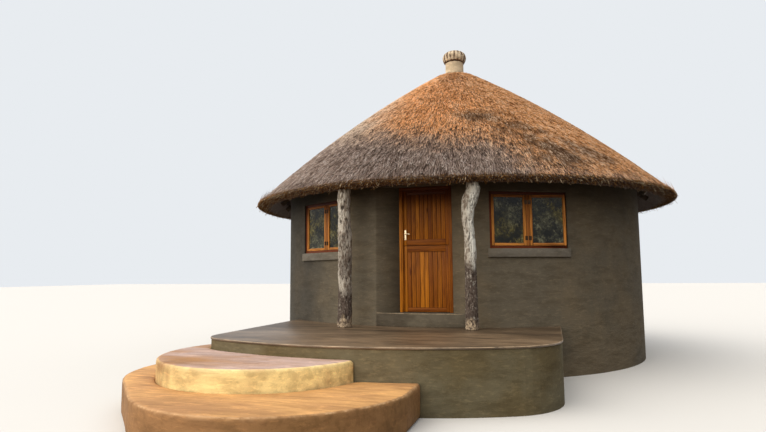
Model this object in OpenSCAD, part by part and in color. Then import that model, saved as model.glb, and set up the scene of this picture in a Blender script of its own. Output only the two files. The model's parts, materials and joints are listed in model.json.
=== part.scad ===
// Round thatched hut on a low masonry terrace, with its two crescent steps.
// Millimetres. The hut's axis is Z, the lowest ground is z = 0, and the door faces -Y.
// Angles round the hut are measured from the door, positive towards +X.

/* [Ground and terrace] */
// Height of the terrace above the lowest ground
terrace_h = 800; // [600:20:1000]
// Thickness of the cement screed on the terrace
screed_t = 30; // [20:5:50]
// How far the screed's edge stands out past the terrace wall
screed_nosing = 12; // [5:1:30]
// Distance from the wall to the crown of the terrace's front
terrace_front = 2530; // [1900:10:3100]
// Radius of the terrace's broad front curve
terrace_front_r = 4750; // [4000:50:6000]
// Sideways place of the front curve's centre
terrace_front_x = -500; // [-700:20:-300]
// Left side of the terrace
terrace_left = 2690; // [2400:10:3000]
// Right side of the terrace
terrace_right = 2100; // [1900:10:2400]
// Radius of the left front corner
terrace_left_r = 520; // [300:20:700]
// Radius of the right front corner
terrace_right_r = 950; // [600:20:1000]

/* [Steps] */
// Riser from the upper step to the terrace
upper_riser = 150; // [100:10:200]
// Riser from the lower step to the upper one
lower_riser = 250; // [150:10:300]
// Radius of the upper step's round nose
upper_step_r = 1380; // [1100:10:1500]
// Sideways place of the upper step's centre
upper_step_x = -1600; // [-1900:10:-1400]
// How far the upper step's centre lies behind the crown of the terrace's front
upper_step_in = 380; // [200:10:500]
// Radius of the lower step's round noses
lower_step_r = 1650; // [1450:10:1800]
// Sideways place of the lower step's front centre
lower_step_x = -1120; // [-1300:10:-900]
// How far the front centre lies in front of the crown of the terrace's front
lower_step_out = 240; // [100:10:400]
// Sideways place of the lower step's back centre
lower_step_back_x = -1850; // [-2200:10:-1600]
// How far the back centre lies behind the crown of the terrace's front
lower_step_back_in = 520; // [300:10:700]
// How far the straight right end cuts into the lower step's front nose
lower_step_cut = 30; // [5:5:60]

/* [Walls] */
// Outer radius of the round wall
wall_r = 3750; // [3200:10:4500]
// Thickness of the round wall
wall_t = 360; // [250:10:450]
// Height of the inside floor above the terrace
floor_rise = 215; // [150:5:260]
// Height of the top of the wall blocks above the floor, which is also the door head
wall_h = 2100; // [1900:5:2520]

/* [Doorway] */
// Width of the door frame
frame_w = 900; // [800:10:1080]
// How far the front of the door frame lies behind the wall's outer face
frame_setback = 250; // [180:10:280]
// Depth of the door frame
frame_depth = 100; // [80:5:120]
// Face width of the jambs and head
jamb_w = 45; // [35:5:60]
// How much the doorway widens on each side towards the outside
splay = 370; // [250:10:400]
// Thickness of the door leaves
leaf_t = 44; // [40:2:50]
// Gap round the door leaves
leaf_gap = 5; // [5:1:8]
// Gap under the lower leaf and between the two leaves
leaf_floor_gap = 8; // [6:1:12]
// Height of the top of the lower leaf above the floor
lower_leaf_top = 1108; // [900:4:1300]
// Width of the stiles and the outer rails of a leaf
stile_w = 70; // [60:5:100]
// Height of the rails where the two leaves meet
meeting_rail_h = 100; // [80:5:130]
// Number of vertical boards in a leaf
leaf_boards = 7; // [5:1:9]
// Height of the lever above the top of the lower leaf
lever_rise = 202; // [160:2:300]

/* [Windows] */
// Width of a window frame
window_w = 1350; // [1120:10:1620]
// Height of a window frame
window_h = 930; // [770:10:1120]
// Height of the wall over a window
over_window_h = 135; // [100:5:200]
// Direction of the left window's middle
left_window_a = -32; // [-33:0.5:-29]
// Direction of the right window's middle
right_window_a = 27; // [26:0.5:30]
// How far the window frames' outer face lies behind the wall's at its middle
window_setback = 90; // [70:10:150]
// Face width of the window frame's members
window_bar = 45; // [35:5:60]
// Width of the mullion between the two lights
mullion_w = 60; // [50:5:80]
// Depth of the window frames
window_depth = 75; // [60:5:100]
// Face width of a casement's members
casement_bar = 45; // [35:5:55]
// How far the right casement of the right window stands open, in degrees
ajar = 9; // [0:1:20]
// Height of the plaster sill band
sill_band_h = 140; // [80:10:180]
// How far the sill band stands out of the wall
sill_band_t = 35; // [20:5:60]

/* [Roof] */
// Pitch of the rafters, in degrees
pitch = 38; // [32:0.5:46]
// Height of the ring beam at the wall's outer face
beam_h = 121; // [80:1:200]
// How far the lower edge of the thatch stands out past the wall
eave_out = 450; // [370:10:550]
// How far the eave's upper lip stands out past the lower edge of the thatch
lip_out = 200; // [150:10:250]
// Height of the lip above the lower edge of the thatch
lip_rise = 110; // [80:10:200]
// How far the eave's nose stands out past the lip
nose = 55; // [20:5:80]
// Radius where the round top of the thatch begins
crown_r = 450; // [400:10:600]
// Height of that circle above the underside of the thatch
crown_cover = 205; // [150:5:300]
// How much the thatch swells outward between eave and crown
swell = 131; // [60:1:200]
// Height of the round top
crown_dome = 45; // [30:5:120]
// Number of rafters
rafters_n = 24; // [16:2:24]
// Diameter of a rafter pole
rafter_d = 100; // [80:5:120]
// Gap between the rafters where they meet the apex block
rafter_gap = 18; // [10:1:40]
// Diameter of a batten
batten_d = 30; // [25:1:40]
// Spacing of the battens up the slope
batten_pitch = 345; // [300:5:450]
// How far the rafter tails stop short of the thatch's lower edge
tail_inset = 250; // [200:10:350]
// Direction of the first rafter
rafter_a = -17.7; // [-20:0.1:-15]

/* [Finial] */
// Radius of the plastered neck
neck_r = 208; // [180:2:230]
// Height of the neck above the thatch
neck_h = 320; // [250:5:400]
// Largest radius of the ribbed crown
crown_pot_r = 278; // [240:2:300]
// Height of the ribbed crown
crown_pot_h = 305; // [250:5:350]
// Number of ribs
ribs_n = 18; // [12:1:24]

/* [Posts] */
// How far the left post's foot lies inside the lower edge of the thatch
left_foot_in = 10; // [-50:10:130]
// How far the left post's head lies inside the lower edge of the thatch
left_head_in = -10; // [-50:10:130]
// How far the right post's foot lies inside the lower edge of the thatch
right_foot_in = 120; // [-50:10:130]
// How far the right post's head lies inside the lower edge of the thatch
right_head_in = 40; // [-50:10:130]
// Direction of the left post
left_post_a = -17.2; // [-19:0.1:-16]
// Direction of the right post
right_post_a = 11.8; // [10:0.1:13]

/* [Fits] */
// Thickness of the bed joint between pieces that lie on each other
bed = 0.3; // [0.1:0.1:0.5]

/* [Hidden] */
$fn = 48;
// Finer circles for the wide rounds: walls, steps and roof
wide = 360;

// Small overlap that lets a cutting shape run clear of what it cuts
eps = 1;

// Heights above the lowest ground
floor_z = terrace_h + floor_rise;
wall_top = floor_z + wall_h;
window_top = wall_top - over_window_h;
window_z = window_top - window_h;
upper_step_h = terrace_h - upper_riser;
lower_step_h = upper_step_h - lower_riser;

// Walls and what stands in them, as distances from the axis
wall_in_r = wall_r - wall_t;
frame_face = wall_r - frame_setback;
window_face = wall_r - window_setback;
splay_half = frame_w / 2 + splay;
// Number of wall lengths round the back, one for each of their nodes
back_walls = 6;
// Half the angle of the stretch of ring that the piece under or over an opening is cut from
opening_a = 20;

// Crown of the terrace's front, and the centres that are set out from it
front_y = -(wall_r + terrace_front);
terrace_front_y = front_y + terrace_front_r;
upper_step_c = [upper_step_x, front_y + upper_step_in];
lower_step_c = [lower_step_x, front_y - lower_step_out];
lower_step_back_c = [lower_step_back_x, front_y + lower_step_back_in];

// Roof lines: the rafters lie on the ring beam, the battens on the rafters and the thatch on the battens
slope = tan(pitch);
rafter_drop = (batten_d + rafter_d / 2 + 2 * bed) / cos(pitch);
rafter_foot_drop = (batten_d + rafter_d + 2 * bed) / cos(pitch);
eave_r = wall_r + eave_out;
lip_r = eave_r + lip_out;
eave_z = wall_top + beam_h + bed + rafter_foot_drop - eave_out * slope;
function under_thatch(r) = eave_z + (eave_r - r) * slope;
rafter_head_r = rafters_n * (rafter_d + rafter_gap) / (2 * PI);
rafter_tail_r = eave_r - tail_inset;
apex_z = under_thatch(rafter_head_r) - batten_d;
apex_r = eave_r - (apex_z - eave_z) / slope;
apex_top = apex_z - bed;

// Door leaves
opening_w = frame_w - 2 * jamb_w;
leaf_w = opening_w - 2 * leaf_gap;
leaf_back = frame_face - frame_depth;
leaf_face = leaf_back + leaf_t;
leaf_top = wall_h - jamb_w - leaf_gap;
upper_leaf_bottom = lower_leaf_top + leaf_floor_gap;
lever_h = lower_leaf_top + lever_rise;
stop_w = 12;
stop_depth = frame_depth - leaf_t - leaf_gap;
board_inset = 12;
groove_w = 6;
groove_d = 5;

// Hinges
knuckle_r = 8;
pin_r = 4;
pin_fit = 0.05;
hinge_h = 90;
hinge_margin = 4.5;
hinge_plate_w = jamb_w + leaf_gap / 2 - knuckle_r - hinge_margin;
hinge_plate_t = 3;
hinge_x = opening_w / 2 - leaf_gap / 2;
hinge_y = -(leaf_back - knuckle_r);
hinge_inset = 150;

glass_t = 5;

// Points of an arc round c, from angle a0 to a1
function arc(c, r, a0, a1, n) = [for (i = [0:n]) let (a = a0 + (a1 - a0) * i / n) c + r * [cos(a), sin(a)]];

// Places its children at a direction round the hut, facing outward along -Y
module facing(a) {
    rotate([0, 0, a]) children();
}

// A length of the round wall's ring between two directions
module ring_sector(a0, a1, r0, r1, z0, z1) {
    rotate([0, 0, a0 - 90])
        rotate_extrude(angle = a1 - a0, $fn = wide)
            translate([r0, z0]) square([r1 - r0, z1 - z0]);
}

// Ground works

// Centre of a corner circle that touches a side at x and the front curve
function corner_y(cx, r) =
    terrace_front_y - sqrt(pow(terrace_front_r - r, 2) - pow(cx - terrace_front_x, 2));

// Direction from the front curve's centre to a corner circle's centre
function corner_a(cx, r) = atan2(corner_y(cx, r) - terrace_front_y, cx - terrace_front_x);

// Plan of the terrace, a broad curve between two straight sides with rounded corners
module terrace_plan(grow = 0) {
    left_c = terrace_left_r - terrace_left;
    right_c = terrace_right - terrace_right_r;
    left_a = corner_a(left_c, terrace_left_r);
    right_a = corner_a(right_c, terrace_right_r);
    polygon(concat(
        [[-terrace_left - grow, 0]],
        arc([left_c, corner_y(left_c, terrace_left_r)], terrace_left_r + grow, -180, left_a, 8),
        arc([terrace_front_x, terrace_front_y], terrace_front_r + grow, left_a, right_a, 20),
        arc([right_c, corner_y(right_c, terrace_right_r)], terrace_right_r + grow, right_a, 0, 10),
        [[terrace_right + grow, 0]]));
}

module wall_circle(z0, z1, joint = 0) {
    translate([0, 0, z0]) cylinder(r = wall_r + joint, h = z1 - z0, $fn = wide);
}

module plinth() {
    color("#6d6252") wall_circle(0, terrace_h - bed);
}

module floor_slab() {
    color("#8a7a63") translate([0, 0, terrace_h])
        cylinder(r = wall_in_r - bed, h = floor_rise, $fn = wide);
}

module terrace() {
    color("#8f7350") difference() {
        linear_extrude(terrace_h - screed_t - bed) terrace_plan();
        wall_circle(-eps, terrace_h, bed);
    }
}

module terrace_screed() {
    color("#b08a58") difference() {
        translate([0, 0, terrace_h - screed_t]) linear_extrude(screed_t) terrace_plan(screed_nosing);
        wall_circle(terrace_h - screed_t - eps, terrace_h + eps, bed);
    }
}

module upper_step() {
    color("#a68055") difference() {
        translate(upper_step_c) cylinder(r = upper_step_r, h = upper_step_h, $fn = wide);
        translate([0, 0, -eps]) linear_extrude(upper_step_h + 2 * eps) terrace_plan(bed);
    }
}

// Plan of the lower step: a straight right end, the front nose, a straight side and the back nose
module lower_step_plan() {
    run = lower_step_back_c - lower_step_c;
    side_a = atan2(run[0], -run[1]) - 360 * (run[0] > 0 ? 1 : 0);
    end_a = -acos(1 - lower_step_cut / lower_step_r);
    end_x = lower_step_c[0] + lower_step_r - lower_step_cut;
    polygon(concat(
        arc(lower_step_c, lower_step_r, end_a, side_a, 40),
        arc(lower_step_back_c, lower_step_r, side_a, -270, 48),
        [[end_x, lower_step_back_c[1] + lower_step_r]]));
}

module lower_step() {
    color("#a07b52") difference() {
        linear_extrude(lower_step_h) lower_step_plan();
        translate([0, 0, -eps]) linear_extrude(lower_step_h + 2 * eps) terrace_plan(bed);
        translate([upper_step_c[0], upper_step_c[1], -eps])
            cylinder(r = upper_step_r + bed, h = lower_step_h + 2 * eps, $fn = wide);
    }
}

// Doorway and walls

// Plan of the doorway: a slot as wide as the frame, splayed open in front of it
module doorway_plan(joint) {
    half = frame_w / 2 - joint;
    arris_y = sqrt(pow(wall_r, 2) - pow(splay_half, 2));
    reach = (wall_r + wall_t - frame_face) / (arris_y - frame_face);
    mouth = half + (splay_half - frame_w / 2) * reach;
    polygon([[-half, -wall_in_r + wall_t], [-half, -frame_face], [-mouth, -wall_r - wall_t],
             [mouth, -wall_r - wall_t], [half, -frame_face], [half, -wall_in_r + wall_t]]);
}

module doorway(z0, z1, joint = 0) {
    translate([0, 0, z0]) linear_extrude(z1 - z0) doorway_plan(joint);
}

module window_column(a, z0, z1, joint = 0) {
    facing(a) translate([joint - window_w / 2, -wall_r - wall_t, z0])
        cube([window_w - 2 * joint, 3 * wall_t, z1 - z0]);
}

// Half the angle that a bed joint takes up at the inside of the wall
joint_a = asin(bed / 2 / wall_in_r);

// Wall between two directions, with the doorway and both windows cut out of it from top to bottom
module wall_length(a0, a1) {
    color("#7d725f") difference() {
        ring_sector(a0 + joint_a, a1 - joint_a, wall_in_r, wall_r, terrace_h, wall_top - bed);
        doorway(terrace_h - eps, wall_top + eps);
        window_column(left_window_a, terrace_h - eps, wall_top + eps);
        window_column(right_window_a, terrace_h - eps, wall_top + eps);
    }
}

// The wall's own piece below or above a window
module window_wall(a, z0, z1) {
    color("#7d725f") intersection() {
        ring_sector(a - opening_a, a + opening_a, wall_in_r, wall_r, z0, z1);
        window_column(a, z0 - eps, z1 + eps, bed);
    }
}

module threshold() {
    color("#7a6c58") intersection() {
        ring_sector(-opening_a, opening_a, wall_in_r, wall_r, terrace_h, floor_z);
        doorway(terrace_h - eps, floor_z + eps, bed);
    }
}

module wall_left_of_door() {
    wall_length(left_window_a, 0);
}

module wall_right_of_door() {
    wall_length(0, right_window_a);
}

module wall_under_left_window() {
    window_wall(left_window_a, terrace_h, window_z - bed);
}

module wall_over_left_window() {
    window_wall(left_window_a, window_top + bed, wall_top - bed);
}

module wall_under_right_window() {
    window_wall(right_window_a, terrace_h, window_z - bed);
}

module wall_over_right_window() {
    window_wall(right_window_a, window_top + bed, wall_top - bed);
}

// One of the like lengths round the back, from the right window to the left one
module back_wall(i) {
    step = (360 + left_window_a - right_window_a) / back_walls;
    wall_length(right_window_a + i * step, right_window_a + (i + 1) * step);
}

// Concrete ring on the wall heads; its top slopes with the rafters that lie on it
module ring_beam() {
    color("#74695a") rotate_extrude(convexity = 4, $fn = wide)
        polygon([[wall_in_r, wall_top], [wall_r, wall_top],
                 [wall_r, wall_top + beam_h],
                 [wall_in_r, under_thatch(wall_in_r) - rafter_foot_drop - bed]]);
}

// Roof

module rafter() {
    head_z = under_thatch(rafter_head_r) - rafter_drop;
    translate([0, -rafter_head_r, head_z])
        rotate([90 + pitch, 0, 0])
            cylinder(d = rafter_d, h = (rafter_tail_r - rafter_head_r) / cos(pitch), $fn = 24);
}

module rafters() {
    color("#4c3826") for (i = [0:rafters_n - 1]) facing(rafter_a + i * 360 / rafters_n) rafter();
}

module battens() {
    first_r = rafter_tail_r - batten_d;
    last_r = apex_r + 2 * batten_d;
    batten_drop = batten_d / 2 + bed;
    color("#5b452f") for (r = [first_r:-batten_pitch * cos(pitch):last_r])
        rotate_extrude($fn = wide) translate([r, under_thatch(r)] - batten_drop * [sin(pitch), cos(pitch)])
            circle(d = batten_d, $fn = 8);
}

// Timber block at the apex; its slanted face takes the square ends of the rafters
module apex_block() {
    head_z = under_thatch(rafter_head_r) - rafter_drop;
    half = rafter_d / 2;
    face_r = rafter_head_r - bed;
    color("#4a3524") rotate_extrude($fn = wide)
        polygon([[0, head_z - 2 * half], [rafter_head_r - 2 * half, head_z - 2 * half],
                 [face_r - half * sin(pitch), head_z - half * cos(pitch)],
                 [face_r + half * sin(pitch), head_z + half * cos(pitch)],
                 [face_r, apex_top], [0, apex_top]]);
}

// Outer line of the thatch, from the lip up to the round top and in to the axis
lip = [lip_r, eave_z + lip_rise];
crown = [crown_r, under_thatch(crown_r) + crown_cover];
function swell_point(t) =
    let (run = crown - lip, out = [run[1], -run[0]] / norm(run))
    lip + run * t + out * 4 * swell * t * (1 - t);
function dome_point(t) = crown + [-crown_r * t, crown_dome * (1 - pow(1 - t, 2))];
thatch_line = concat(
    [[eave_r, eave_z], [eave_r + (lip_r + nose - eave_r) * 0.7, eave_z + lip_rise * 0.08],
     [lip_r + nose, eave_z + lip_rise * 0.42], [lip_r + nose * 0.8, eave_z + lip_rise * 0.8]],
    [for (i = [0:14]) swell_point(i / 14)],
    [for (i = [1:4]) dome_point(i / 4)]);

module thatch() {
    color("#8c7768") rotate_extrude(convexity = 4, $fn = wide)
        polygon(concat(thatch_line, [[0, apex_z], [apex_r, apex_z]]));
}

// Everything under the thatch's outer line, to seat what stands on it
module below_thatch() {
    rotate_extrude($fn = wide) polygon(concat(thatch_line, [[0, eave_z]]));
}

// Everything above the thatch's underside, to cut off what reaches up to it
module above_underside() {
    rotate_extrude($fn = wide)
        polygon([[0, under_thatch(0)], thatch_line[0], thatch_line[1], thatch_line[2],
                 [2 * lip_r, thatch_line[2][1]], [2 * lip_r, dome_top], [0, dome_top]]);
}

// Finial

dome_top = crown[1] + crown_dome;
neck_z = crown[1] + crown_dome * (1 - pow(neck_r / crown_r, 2));

module finial_neck() {
    color("#d8c3a2") difference() {
        translate([0, 0, crown[1]]) cylinder(r = neck_r, h = neck_z - crown[1] + neck_h - bed);
        translate([0, 0, bed]) below_thatch();
    }
}

// Ribbed crown: rings of points whose radius swings in and out round the pot
crown_rings = 10;
crown_steps = 4;
rib_depth = 0.07;
function crown_ring_r(t) = crown_pot_r * (t < 0.3 ? 0.86 + 0.14 * sin(300 * t) : cos(90 * (t - 0.3) / 0.7));
function crown_round(i) =
    let (t = i / crown_rings, r = max(crown_ring_r(t), 0.02 * crown_pot_r), n = ribs_n * crown_steps)
    [for (j = [0:n - 1]) let (a = 360 * j / n, k = 1 - rib_depth * pow(cos(ribs_n * a / 2), 2))
        [r * k * cos(a), r * k * sin(a), crown_pot_h * sin(90 * t)]];

// Solid through a stack of rings with the same number of points
module loft(rings) {
    n = len(rings[0]);
    m = len(rings);
    points = [for (ring = rings) each ring];
    sides = [for (i = [0:m - 2], j = [0:n - 1])
        [i * n + j, (i + 1) * n + j, (i + 1) * n + (j + 1) % n, i * n + (j + 1) % n]];
    polyhedron(points, concat([[for (j = [0:n - 1]) j]], sides, [[for (j = [n - 1:-1:0]) (m - 1) * n + j]]),
        convexity = 4);
}

module finial_crown() {
    color("#b9805a") translate([0, 0, neck_z + neck_h])
        loft([for (i = [0:crown_rings]) crown_round(i)]);
}

// Posts: rough logs, each a stack of rings; height share, sideways shift and radius are chosen by eye
left_log = [[0, -18, 124], [0.03, -16, 112], [0.12, -14, 100], [0.3, -14, 97], [0.5, -16, 99],
    [0.7, -14, 96], [0.8, -12, 102], [0.88, -10, 97], [1, -8, 95]];
right_log = [[0, -24, 100], [0.04, -23, 96], [0.2, -23, 89], [0.34, -20, 84], [0.46, -24, 84],
    [0.56, -38, 79], [0.64, -54, 84], [0.71, -50, 93], [0.77, -12, 118], [0.83, 36, 106],
    [0.87, 30, 88], [0.91, 6, 72], [1, -8, 70]];
log_sides = 14;

module log_post(log, direction, foot_in, head_in) {
    top = under_thatch(wall_r);
    rings = [for (k = [0:len(log) - 1]) let (s = log[k])
        [for (j = [0:log_sides - 1])
            let (a = 360 * j / log_sides, lump = s[2] * (1 + 0.05 * sin(3 * a + 97 * k)),
                 r = eave_r - foot_in + (foot_in - head_in) * s[0])
            [s[1] + lump * cos(a), -r + lump * sin(a), terrace_h + bed + s[0] * (top - terrace_h)]]];
    color("#9a8f80") difference() {
        facing(direction) loft(rings);
        translate([0, 0, -bed]) above_underside();
    }
}

module left_post() {
    log_post(left_log, left_post_a, left_foot_in, left_head_in);
}

module right_post() {
    log_post(right_log, right_post_a, right_foot_in, right_head_in);
}

// Door

module jambs_and_head(w, h, bar, depth) {
    difference() {
        translate([-w / 2, 0, 0]) cube([w, depth, h]);
        translate([bar - w / 2, -eps, -eps]) cube([w - 2 * bar, depth + 2 * eps, h - bar + eps]);
    }
}

// Frame with a stop in front of the leaves
module door_frame() {
    color("#9a5a2a") translate([0, -frame_face, floor_z + bed]) {
        jambs_and_head(frame_w - 2 * bed, wall_h - 2 * bed, jamb_w - bed, frame_depth);
        jambs_and_head(frame_w - 2 * bed, wall_h - 2 * bed, jamb_w + stop_w - bed, stop_depth);
    }
}

// Framed leaf with grooved boards let into it, between two heights above the floor
module leaf(z0, z1, low_rail, high_rail) {
    field_w = leaf_w - 2 * stile_w;
    field_h = z1 - z0 - low_rail - high_rail;
    board_w = field_w / leaf_boards;
    color("#a4622c") difference() {
        translate([-leaf_w / 2, -leaf_face, floor_z + z0]) cube([leaf_w, leaf_t, z1 - z0]);
        translate([-field_w / 2, -leaf_face - eps, floor_z + z0 + low_rail])
            cube([field_w, board_inset + eps, field_h]);
        translate([-field_w / 2, -leaf_back - board_inset, floor_z + z0 + low_rail])
            cube([field_w, board_inset + eps, field_h]);
        for (i = [1:leaf_boards - 1])
            translate([i * board_w - field_w / 2 - groove_w / 2, -leaf_face, floor_z + z0 + low_rail])
                cube([groove_w, board_inset + groove_d, field_h]);
    }
}

module upper_leaf() {
    leaf(upper_leaf_bottom, leaf_top, meeting_rail_h, stile_w);
}

module lower_leaf() {
    leaf(leaf_floor_gap, lower_leaf_top, stile_w, meeting_rail_h);
}

// Heights above the floor of the middles of a leaf's two hinges
function hinge_heights(z0, z1) = [z0 + hinge_inset, z1 - hinge_inset];
upper_hinges = hinge_heights(upper_leaf_bottom, leaf_top);
lower_hinges = hinge_heights(leaf_floor_gap, lower_leaf_top);
knuckle_h = hinge_h / 3 - 1;

// Fixed half of a hinge: the pin, two knuckles and the plate on the jamb
module fixed_half() {
    cylinder(r = pin_r, h = hinge_h, center = true);
    for (side = [-1, 1]) translate([0, 0, side * (hinge_h - knuckle_h) / 2]) {
        cylinder(r = knuckle_r, h = knuckle_h, center = true);
        translate([0, -knuckle_r, -knuckle_h / 2])
            cube([knuckle_r + hinge_plate_w, hinge_plate_t, knuckle_h]);
    }
    translate([knuckle_r + leaf_gap / 2, -knuckle_r, -hinge_h / 2])
        cube([hinge_plate_w - leaf_gap / 2, hinge_plate_t, hinge_h]);
}

// Moving half: the bored middle knuckle and the plate on the leaf
module moving_half() {
    difference() {
        union() {
            cylinder(r = knuckle_r, h = knuckle_h, center = true);
            translate([-knuckle_r - hinge_plate_w, -knuckle_r, -knuckle_h / 2])
                cube([knuckle_r + hinge_plate_w, hinge_plate_t, knuckle_h]);
            translate([-knuckle_r - hinge_plate_w, -knuckle_r, -hinge_h / 2])
                cube([hinge_plate_w - leaf_gap / 2, hinge_plate_t, hinge_h]);
        }
        cylinder(r = pin_r + pin_fit, h = hinge_h, center = true);
    }
}

module at_hinges(heights) {
    color("#8d8a84") for (h = heights) translate([hinge_x, hinge_y, floor_z + h]) children();
}

module frame_hinges() {
    at_hinges(concat(upper_hinges, lower_hinges)) fixed_half();
}

module upper_leaf_hinges() {
    at_hinges(upper_hinges) moving_half();
}

module lower_leaf_hinges() {
    at_hinges(lower_hinges) moving_half();
}

// Lever on a long plate, on both faces of the upper leaf
plate_w = 42;
plate_h = 170;
plate_t = 4;
lever_r = 9;
lever_out = 52;
lever_l = 105;

module lever_side() {
    translate([-plate_w / 2, -plate_t, -0.6 * plate_h]) cube([plate_w, plate_t, plate_h]);
    rotate([90, 0, 0]) cylinder(r = lever_r, h = lever_out + lever_r);
    translate([0, -lever_out, 0]) rotate([0, 90, 0]) cylinder(r = lever_r, h = lever_l);
}

module lever_handle() {
    x = stile_w / 2 - leaf_w / 2;
    color("#b08d4a") {
        translate([x, -leaf_face, floor_z + lever_h]) lever_side();
        translate([x, -leaf_back, floor_z + lever_h]) mirror([0, 1, 0]) lever_side();
    }
}

// Windows

light_w = (window_w - 2 * window_bar - mullion_w) / 2;
light_h = window_h - 2 * window_bar;
casement_gap = 2;
casement_t = 40;
casement_w = light_w - 2 * casement_gap;
casement_h = light_h - 2 * casement_gap;
light_x = (light_w + mullion_w) / 2;
rebate = 12;
barrel_r = 6;
window_hinge_x = (mullion_w + casement_gap) / 2;
window_hinge_h = 70;
window_hinge_inset = 170;
window_plate_margin = 6;
window_plate_w = mullion_w / 2 - window_plate_margin;
window_plate_t = 2;

module at_window(a) {
    facing(a) translate([0, -window_face, window_z]) children();
}

// Frame with a rebate that each casement shuts against
module window_frame(a) {
    color("#a5672f") at_window(a) difference() {
        translate([bed - window_w / 2, 0, 0]) cube([window_w - 2 * bed, window_depth, window_h]);
        for (side = [-1, 1]) translate([side * light_x, 0, window_bar]) {
            translate([-light_w / 2, -eps, 0]) cube([light_w, casement_t + bed + eps, light_h]);
            translate([rebate - light_w / 2, 0, rebate])
                cube([light_w - 2 * rebate, window_depth + eps, light_h - 2 * rebate]);
        }
    }
}

// Butt hinge at the mullion's right edge: barrel, plate on the mullion and plate on the casement
module window_hinge(angle) {
    translate([window_hinge_x, -barrel_r - bed, -window_hinge_h / 2]) {
        cylinder(r = barrel_r, h = window_hinge_h, $fn = 24);
        translate([-window_plate_w, barrel_r - window_plate_t, 0])
            cube([window_plate_w, window_plate_t, window_hinge_h]);
        rotate([0, 0, -angle]) translate([0, barrel_r - window_plate_t, 0])
            cube([window_plate_w, window_plate_t, window_hinge_h]);
    }
}

// The hinges of one window's two casements; the right one stands open by an angle
module hinge_pairs(a, open_angle) {
    at_window(a) for (z = [window_hinge_inset, window_h - window_hinge_inset]) translate([0, 0, z]) {
        mirror([1, 0, 0]) window_hinge(0);
        window_hinge(open_angle);
    }
}

module window_hinges() {
    color("#8d8a84") {
        hinge_pairs(left_window_a, 0);
        hinge_pairs(right_window_a, ajar);
    }
}

// One casement: side is -1 for the left light and 1 for the right one
module casement(side) {
    translate([side * light_x - casement_w / 2, 0, window_bar + casement_gap])
        difference() {
            cube([casement_w, casement_t, casement_h]);
            translate([casement_bar, -eps, casement_bar])
                cube([casement_w - 2 * casement_bar, casement_t + 2 * eps, casement_h - 2 * casement_bar]);
        }
}

module pane(side) {
    translate([side * light_x - casement_w / 2 + casement_bar, (casement_t - glass_t) / 2,
               window_bar + casement_gap + casement_bar])
        cube([casement_w - 2 * casement_bar, glass_t, casement_h - 2 * casement_bar]);
}

// Swings a right-hand casement out about its hinges
module swung(angle) {
    translate([window_hinge_x, -barrel_r - bed, 0]) rotate([0, 0, -angle])
        translate([-window_hinge_x, barrel_r + bed, 0]) children();
}

module left_window_casements() {
    color("#9c6230") at_window(left_window_a) for (side = [-1, 1]) casement(side);
}

module right_window_casements() {
    color("#9c6230") at_window(right_window_a) {
        casement(-1);
        swung(ajar) casement(1);
    }
}

module window_glass() {
    color([0.35, 0.4, 0.38, 0.5]) {
        at_window(left_window_a) for (side = [-1, 1]) pane(side);
        at_window(right_window_a) {
            pane(-1);
            swung(ajar) pane(1);
        }
    }
}

module left_window_frame() {
    window_frame(left_window_a);
}

module right_window_frame() {
    window_frame(right_window_a);
}

// Plaster band that stands out of the wall under a window
module sill_band(a) {
    half_a = asin((window_w / 2 + sill_band_t) / wall_r);
    low_z = window_z - sill_band_h;
    color("#8a7c66") ring_sector(a - half_a, a + half_a, wall_r + bed, wall_r + sill_band_t, low_z, window_z);
}

module left_window_sill() {
    sill_band(left_window_a);
}

module right_window_sill() {
    sill_band(right_window_a);
}

plinth();
floor_slab();
terrace();
terrace_screed();
upper_step();
lower_step();
threshold();
wall_left_of_door();
wall_right_of_door();
wall_under_left_window();
wall_over_left_window();
wall_under_right_window();
wall_over_right_window();
back_wall(0);  // back_wall_1
back_wall(1);  // back_wall_2
back_wall(2);  // back_wall_3
back_wall(3);  // back_wall_4
back_wall(4);  // back_wall_5
back_wall(5);  // back_wall_6
ring_beam();
rafters();
battens();
apex_block();
thatch();
finial_neck();
finial_crown();
left_post();
right_post();
door_frame();
frame_hinges();
upper_leaf();
upper_leaf_hinges();
lower_leaf();
lower_leaf_hinges();
lever_handle();
left_window_frame();
left_window_casements();
left_window_sill();
right_window_frame();
right_window_casements();
right_window_sill();
window_hinges();
window_glass();
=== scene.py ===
"""Finishes the thatched rondavel hut: straw, log posts, worn steps, door, windows and plaster.

Lengths are in metres in the hut's own frame: Z up along the hut's axis, the doorway on -Y, the origin on
the lowest ground. Each operator makes one group of pieces. main() runs them in order.
"""

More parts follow.
